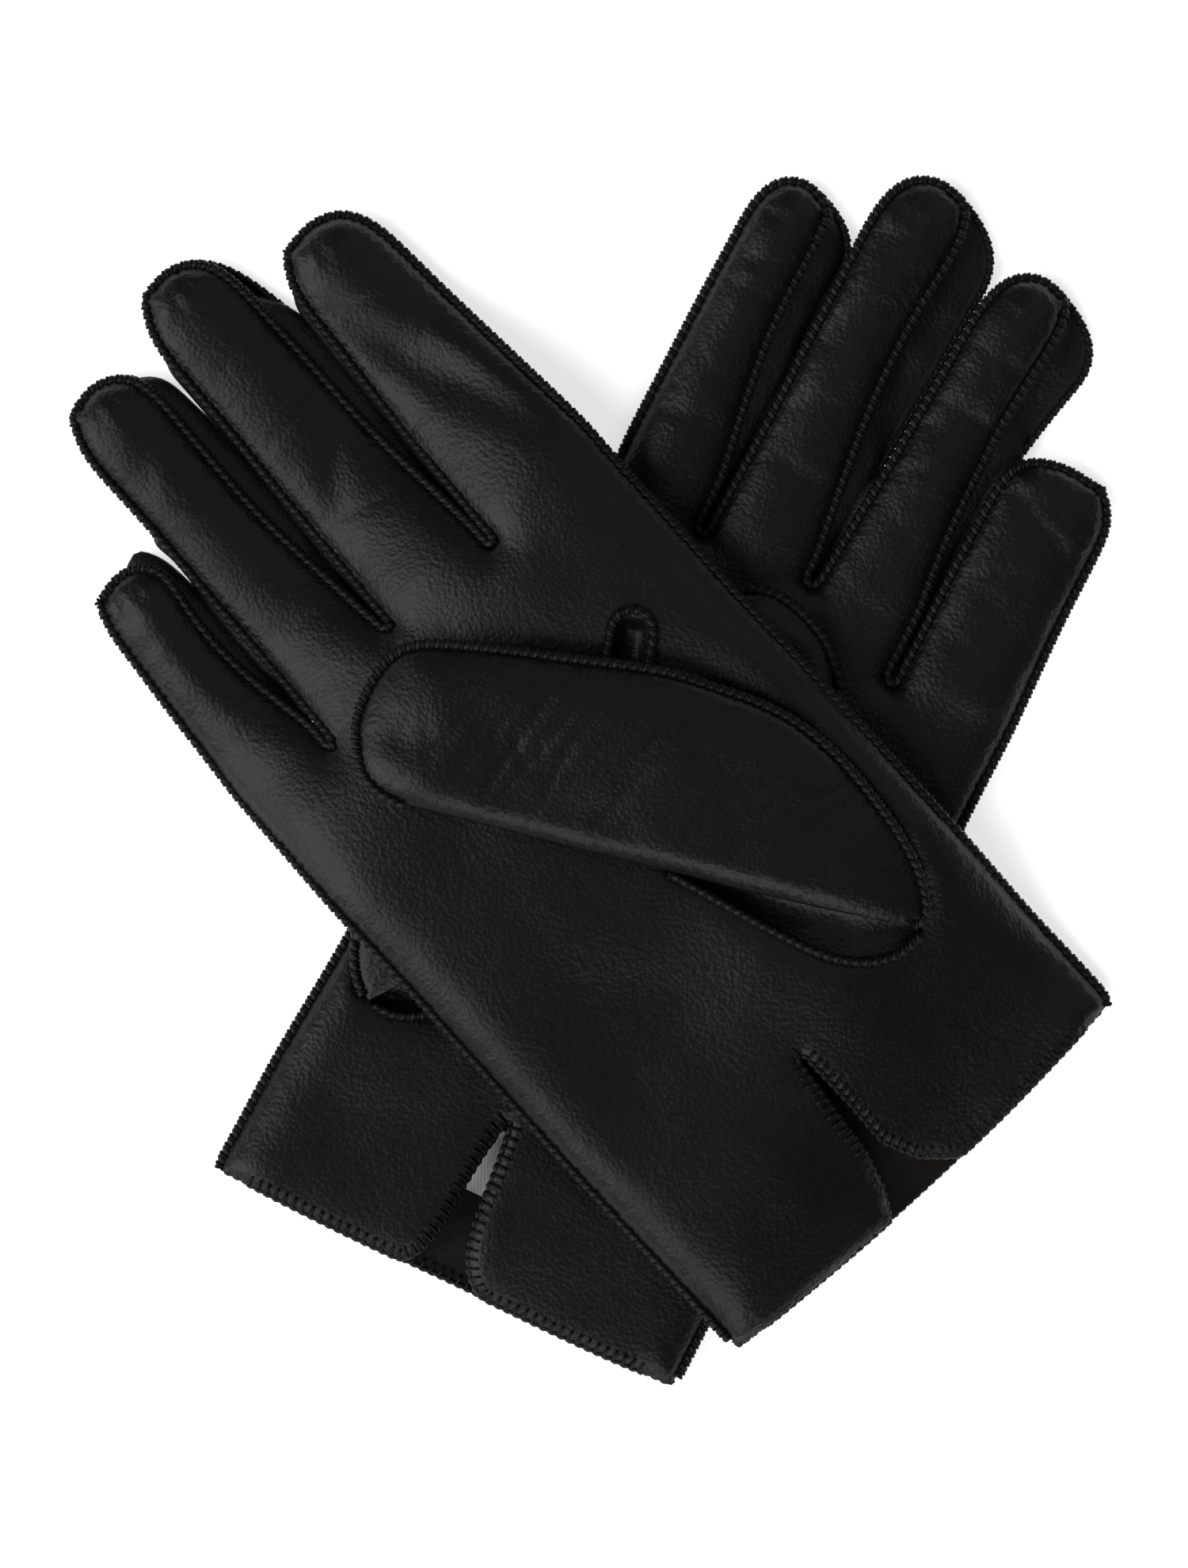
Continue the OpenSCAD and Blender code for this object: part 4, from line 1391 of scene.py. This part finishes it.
def sideways(path):
    run = np.gradient(path, axis=0)
    run /= np.linalg.norm(run, axis=1)[:, None] + 1e-9
    side = np.cross(run, (0, 0, 1))
    return run, side / (np.linalg.norm(side, axis=1)[:, None] + 1e-9)


def rope(path, half=ROPE_HALF, rise=ROPE_RISE):
    """A ridge of gathered leather along a path; the path's points are ROPE_STEP apart."""
    _, side = sideways(path)
    run = np.arange(len(path)) * ROPE_STEP
    rings = []
    for a in np.linspace(0, 2 * math.pi, ROPE_SIDES, endpoint=False):
        swell = 1 + 0.27 * np.cos(2 * math.pi * run / STITCH + 1.1 * math.cos(a))
        rings.append(path + side * (half * math.cos(a) * swell)[:, None]
                     + np.outer(rise * math.sin(a) * swell, (0, 0, 1)))
    return grid(np.array(rings).transpose(1, 0, 2), closed=True)


def tube(lines, radius, sides=5):
    """Thin tubes along many short lines of equal length."""
    lines = np.array(lines)
    run = np.gradient(lines, axis=1)
    run /= np.linalg.norm(run, axis=2)[..., None] + 1e-9
    first = np.cross(run, (0.31, 0.17, 0.93))
    first /= np.linalg.norm(first, axis=2)[..., None] + 1e-9
    second = np.cross(run, first)
    angles = np.linspace(0, 2 * math.pi, sides, endpoint=False)
    ring = (lines[:, :, None] + radius * (np.cos(angles)[:, None] * first[:, :, None]
                                          + np.sin(angles)[:, None] * second[:, :, None]))
    count, length = lines.shape[:2]
    base = np.arange(count)[:, None, None] * length * sides
    r = np.arange(length - 1)[None, :, None] * sides
    c = np.arange(sides)[None, None, :]
    d = (c + 1) % sides
    faces = np.stack(np.broadcast_arrays(base + r + c, base + r + d, base + r + sides + d,
                                         base + r + sides + c), -1).reshape(-1, 4)
    return ring.reshape(-1, 3), faces


def overcast(path, half=ROPE_HALF, rise=ROPE_RISE, slant=0.55, reach=1.25):
    """One slanted thread over the ridge at every stitch."""
    run, side = sideways(path)
    every = int(round(STITCH / ROPE_STEP))
    lines = []
    for i in range(every // 2, len(path), every):
        turn = np.linspace(-0.15 * math.pi, 1.15 * math.pi, 8)
        swell = 0.84
        across = np.cos(turn) * half * reach * swell
        above = np.sin(turn) * rise * reach * swell
        lean = np.linspace(-slant, slant, 8) * STITCH / 2
        lines.append(path[i] + np.outer(across, side[i]) + np.outer(above, (0, 0, 1))
                     + np.outer(lean, run[i]))
    return lines


def spaced(path):
    """Points ROPE_STEP apart along a path in space."""
    run = np.concatenate([[0], np.cumsum(np.linalg.norm(np.diff(path, axis=0), axis=1))])
    at = np.arange(0, run[-1], ROPE_STEP)
    return np.column_stack([np.interp(at, run, path[:, c]) for c in range(3)])


def softened(path, width=4):
    kernel = np.ones(2 * width + 1) / (2 * width + 1)
    padded = np.vstack([path[:1]] * width + [path] + [path[-1:]] * width)
    return np.column_stack([np.convolve(padded[:, c], kernel, "valid") for c in range(3)])


straight = np.column_stack([np.arange(0, 20, ROPE_STEP), np.zeros((50, 2))])
print("stitches on 20 mm of seam:", len(overcast(straight)))

# %% [markdown]
# ### A basket for the sewing
# A seam runs over several fingers, but each finger moves by itself. So every length of rope and
# every stitch is put into a basket under the part that it belongs to, and each part's share
# becomes one piece at the end.

# %% Collecting the sewing
# Parts besides the fingers, which are 0 to 3
HAND, THUMB_PART, HOLE_PART, HEM_PART = -1, 8, 9, 10


class Sewing:
    """Collects ropes and threads and makes one piece of them for each body."""

    def __init__(self, glove):
        self.glove = glove
        self.parts = {}

    def put(self, owner, points, faces, of):
        self.parts.setdefault(owner, []).append((points, faces, np.full(len(faces), of)))

    def seam(self, path, owner_of, **size):
        """Sews along a path. owner_of gives the piece that each point in space belongs to."""
        points, faces = rope(path, **size)
        owners = np.array(owner_of(path))
        of_face = owners[faces[:, 0] // ROPE_SIDES]
        for owner in sorted(set(of_face.tolist())):
            self.put(owner, points, faces[of_face == owner], 0)
        lines = overcast(path, **size)
        middles = np.array([line[len(line) // 2] for line in lines])
        self.threads(lines, owner_of(middles))

    def threads(self, lines, owners, radius=THREAD_RADIUS):
        owners = np.array(owners)
        for owner in sorted(set(owners.tolist())):
            mine = [line for line, o in zip(lines, owners) if o == owner]
            self.put(owner, *tube(mine, radius), 1)

    def finish(self, owner, node, finger):
        parts = self.parts.pop(owner)
        first = np.cumsum([0] + [len(p) for p, _, _ in parts])
        points = np.vstack([p for p, _, _ in parts])
        faces = np.vstack([f + s for (_, f, _), s in zip(parts, first)])
        of = np.concatenate([o for _, _, o in parts])
        # Ropes take the darker seam copy of the nappa, which is painted shade; threads take the black thread.
        piece = make_object(f"{node}_sewn", points, faces, [seam_nappa_painted_shade, black_thread], of)
        attach(piece, self.glove, finger, node)
        return len(faces)


print("parts with sewing on a glove:", len(FINGERS) + len({HAND, THUMB_PART, HOLE_PART, HEM_PART}))

# %% [markdown]
# ### Sewing the gloves together
# One seam runs the whole way round the palm side, over every fingertip. Three more join the side
# strips to the back. A knot of spare thread sits at the corner of each fingertip, where the two
# strips end.

# %% Seams round the hand and fingers
KNOT_LOOPS = 5


def glove_seams(glove):
    front, back = borders_of[glove, "front"], borders_of[glove, "back"]
    drape = drape_of(glove)
    level, _ = edge_levels(glove, front, drape)
    level = level[:len(front.outer)]
    sewing = Sewing(glove)

    def owner_by(border):
        find = nearest(border.outer)

        def owner_of(places):
            index = find(places)[0]
            finger = border.finger[index].copy()
            for k, plane in enumerate(front.planes):
                finger[(finger == k) & (plane.local(places)[1] < CUT + 0.4)] = HAND
            return finger
        return owner_of

    run = np.arange(0, front.last + 1)
    out = -leftward(front.outer) * (-1 if front.flipped else 1)
    flat = front.outer[run, :2] + 0.35 * out[run]
    lie = drape(flat) - LEATHER
    path = softened(np.column_stack([drifted(flat), level[run] - 0.1 + lie]))
    sewing.seam(spaced(path), owner_by(front))
    out = -leftward(back.outer) * (-1 if back.flipped else 1)
    for k in range(3):
        run = np.arange(back.tips[k] + 6, back.tips[k + 1] - 5)
        flat = back.outer[run, :2] + 0.45 * out[run]
        path = softened(np.column_stack([drifted(flat), 1.6 + drape(flat) - LEATHER]))
        sewing.seam(spaced(path), owner_by(back), half=0.62, rise=0.6)
    for k, tip in enumerate(front.tips):
        knot_at = front.outer[tip + KNOT_AFTER_TIP, :2]
        high = level[tip] + drape(knot_at[None])[0] - LEATHER
        rng = random.Random(17 + k)
        loops = []
        for _ in range(KNOT_LOOPS):
            turn = np.linspace(0, 2 * math.pi, 8)
            size = rng.uniform(0.5, 1.0)
            tilt = rng.uniform(0, math.pi)
            loops.append(np.column_stack([
                knot_at[0] + size * np.cos(turn) * math.cos(tilt) + rng.uniform(-0.4, 0.4),
                knot_at[1] + size * np.cos(turn) * math.sin(tilt) + rng.uniform(-0.4, 0.4),
                high + 0.5 + size * 0.8 * np.sin(turn)]))
        sewing.threads(loops, [k] * len(loops), 0.3)
    return sewing


sewings = {glove: glove_seams(glove) for glove in ("left", "right")}
for glove, sewing in sewings.items():
    for k, finger in enumerate(FINGERS):
        print(glove, finger, "seam faces:", sewing.finish(k, f"{glove}_{finger}_seams", finger))

# %% [markdown]
# ### Thumb seams and the stitched loop
# The thumb's own seam follows the index side of the leaf and goes over its tip. The seam round
# the hole carries on from it. At the crotch of the thumb a small stitched loop, the quirk, lets
# the leather open.

# %% Seams of the thumb
HOLE_SEAM = 8.5
QUIRK_SEAM = 8.7


def thumb_seams(glove):
    thumb, on_fold, edge = thumbs[glove]
    drape = drape_of(glove)
    sewing = sewings[glove]
    sewn = np.where(~on_fold)[0]
    gaps = np.where(np.diff(sewn) > 5)[0]
    if len(gaps):
        sewn = np.concatenate([sewn[gaps[-1] + 1:], sewn[:gaps[-1] + 1]])
    out = -turns_left(thumb.leaf) * leftward(thumb.leaf)
    flat = thumb.plane.room(*(thumb.leaf + 0.3 * out)[sewn].T)
    path = softened(np.column_stack([drifted(flat), edge[sewn, 2] + 0.15]))

    def owner_of(places):
        return [THUMB_PART if v > CUT + 0.4 else HOLE_PART for v in thumb.plane.local(places)[1]]
    sewing.seam(spaced(path), owner_of)
    mouth = resampled(rounded_line(thumb.mouth), 0.5, closed=False)
    left_of = leftward(mouth, closed=False)
    inward = (thumb.leaf.mean(0) - mouth)
    outward = np.where(((left_of * inward).sum(1) > 0)[:, None], -left_of, left_of)
    flat = thumb.plane.room(*(mouth + 0.4 * outward).T)
    path = softened(np.column_stack([drifted(flat), HOLE_SEAM + drape(flat) - LEATHER]))
    sewing.seam(spaced(path), lambda places: [HOLE_PART] * len(places))
    root = quirk_root(thumb)
    turn = np.linspace(0, math.pi, 24)
    arch = np.column_stack([root + QUIRK_REACH - QUIRK_HALF * (1 - np.sin(turn)),
                            QUIRK_ALONG - QUIRK_HALF * np.cos(turn)])
    legs = [(root - 1, QUIRK_ALONG - QUIRK_HALF), (root - 1, QUIRK_ALONG + QUIRK_HALF)]
    loop = resampled(np.vstack([legs[0], arch, legs[1]]), 0.5, closed=False)
    flat = thumb.plane.room(*loop.T)
    path = softened(np.column_stack([drifted(flat), QUIRK_SEAM + drape(flat) - LEATHER]))
    sewing.seam(spaced(path), lambda places: [HOLE_PART] * len(places))
    print(glove, "thumb seam faces:", sewing.finish(THUMB_PART, f"{glove}_thumb_seam", "thumb"),
          sewing.finish(HOLE_PART, f"{glove}_thumb_hole_seam", None))


for glove in ("left", "right"):
    thumb_seams(glove)

# %% [markdown]
# ## Hems
# The hem and the slit are bound by hand: each stitch goes over the edge at right angles to it, a
# little more than two millimetres in. Seen from above they are short bars in a row, each in its
# own small valley.

# %% Hem stitches
WHIP_DEPTH = 2.1
# How much the palm side swells from its edge to the stitches' ends, and the back, which is flat
FRONT_SWELL = 1.15
BACK_SWELL = 0.35
BACK_HEIGHT = 1.45


def whip(path, inward, rise, fall, swell):
    """Threads over an edge, from the outer face, which swells inwards, to the inner face."""
    every = int(round(STITCH / ROPE_STEP))
    run = np.gradient(path, axis=0)
    lines = []
    shape = [(WHIP_DEPTH, rise + swell - 0.5), (WHIP_DEPTH - 0.2, rise + swell),
             (1.4, rise + 0.85 * swell), (0.7, rise + 0.5 * swell), (0.0, rise),
             (-0.2, -0.3), (0.0, -fall), (1.2, -fall)]
    for i in range(2, len(path), every):
        along = run[i] / (np.linalg.norm(run[i]) + 1e-9)
        lean = np.linspace(-0.15, 0.15, len(shape))
        lines.append([path[i] + inward[i] * depth + np.array((0, 0, height)) + along * turn
                      for (depth, height), turn in zip(shape, lean)])
    return lines


def hem_stitches(glove):
    front, back = borders_of[glove, "front"], borders_of[glove, "back"]
    drape = drape_of(glove)
    level, _ = edge_levels(glove, front, drape)
    hem = np.where(hem_distance(glove, front.outer) < HEM_NEAR)[0]
    sewing = sewings[glove]
    runs = np.split(hem, np.where(np.diff(hem) > 3)[0] + 1)
    back_run = [np.arange(back.last, len(back.outer))]
    for border, groups, lift, swell in ((front, runs, None, FRONT_SWELL),
                                        (back, back_run, BACK_HEIGHT, BACK_SWELL)):
        inside_of = leftward(border.outer) * (-1 if border.flipped else 1)
        for group in groups:
            if len(group) < 12:
                continue
            flat = border.outer[group, :2]
            lie = drape(flat) - LEATHER
            up = (level[group] - 0.55) if lift is None else lift
            path = np.column_stack([drifted(flat), up + lie])
            steps = spaced(path)
            at = nearest(path)(steps)[0]
            inward = np.column_stack([inside_of[group][at], np.zeros(len(at))])
            lines = whip(steps, inward, 0.45, 1.0, swell)
            sewing.threads(lines, [HEM_PART] * len(lines), 0.34)
            points, faces = rope(steps + inward * 0.2 - (0, 0, 0.2), half=0.62, rise=0.62)
            sewing.put(HEM_PART, points, faces, 0)
    return sewing.finish(HEM_PART, f"{glove}_hem_thread", None)


for glove in ("left", "right"):
    print(glove, "hem faces:", hem_stitches(glove))
    print(glove, "side seam faces:", sewings[glove].finish(HAND, f"{glove}_side_seams", None))

# %% [markdown]
# ## The blank label
# A small label of white satin ribbon is sewn inside the back of the left glove, just above the
# slit. It is left blank.

# %% Label
def label():
    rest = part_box("left_label")[0][2] / MM + 0.55
    corners, _ = cad_mesh("left_label")
    plane = borders_of["left", "front"].plane
    x, y = plane.local(corners)
    rows = []
    for v in np.linspace(y.min(), y.max(), 30):
        across = np.linspace(x.min(), x.max(), 50)
        flat = plane.room(across, np.full(50, v))
        edge = min(v - y.min(), y.max() - v)
        curl = 0.5 * math.exp(-edge / 1.2)
        rows.append(np.column_stack([drifted(flat), rest + curl + 0.25 * waves(flat, 6, 90)]))
    points, faces = grid(rows)
    ribbon = make_object("left_label_satin", points, faces, [white_satin])
    attach(ribbon, "left", None, "left_label")
    return len(faces)


print("label faces:", label())

# %% [markdown]
# ## The table
# The gloves lie on a plain white table, large enough that its edge shows from no side. It glows a
# little, so that it stays white right up to the black leather, which throws hardly any light back.

# %% Table
def plain_white():
    paper, tree, shader, where = new_material("matt_white_table", {
        "Roughness": 0.9, "Specular IOR Level": 0.1})
    fibre = add(tree, "ShaderNodeTexNoise", {"Scale": per_mm(30), "Detail": 3}, Vector=where)
    tone = ramp(tree, fibre.outputs["Fac"], [(0.3, colour("fafafa")), (0.7, colour("fdfdfd"))])
    tree.links.new(tone, shader.inputs["Base Color"])
    shader.inputs["Emission Color"].default_value = grey(1)
    shader.inputs["Emission Strength"].default_value = 0.65
    return paper


# The table's side in metres, and its gap under the gloves
TABLE = 8.0
TABLE_GAP = 0.0004
mesh = bpy.data.meshes.new("table")
half = TABLE / 2
mesh.from_pydata([(-half, -half, 0), (half, -half, 0), (half, half, 0), (-half, half, 0)], [],
                 [(0, 1, 2, 3)])
mesh.materials.append(plain_white())
table = bpy.data.objects.new("table", mesh)
table.location.z = cad_low.z - TABLE_GAP
bpy.context.scene.collection.objects.link(table)
print("table, m:", TABLE)

# %% [markdown]
# ## The light
# A very large soft light stands to the left, a second one on the side of the cuffs, and a weak
# one fills in from the upper right, so the shine falls on the left side of each finger. Lamps
# infinitely far away, with a wide angle, act as large boxes and light both gloves alike. The
# surroundings are nearly dark, because black leather shows mostly what it reflects.

# %% Light
def softbox(name, heading, height, spread, strength):
    """A large soft light far off, by compass heading and height above the table in degrees."""
    data = bpy.data.lights.new(name, "SUN")
    data.angle = math.radians(spread)
    data.energy = strength
    box = bpy.data.objects.new(name, data)
    turn, rise = math.radians(heading), math.radians(height)
    towards = Vector((math.cos(turn) * math.cos(rise), math.sin(turn) * math.cos(rise),
                      math.sin(rise)))
    box.rotation_euler = (-towards).to_track_quat("-Z", "Y").to_euler()
    bpy.context.scene.collection.objects.link(box)


softbox("left_box", 190, 36, 55, 2.2)
softbox("low_box", 268, 40, 45, 1.3)
softbox("right_box", 50, 50, 60, 0.3)
world = bpy.data.worlds.new("studio")
world.use_nodes = True
world.node_tree.nodes["Background"].inputs["Color"].default_value = grey(1)
world.node_tree.nodes["Background"].inputs["Strength"].default_value = 0.07
bpy.context.scene.world = world
bpy.context.scene.view_settings.view_transform = "Standard"
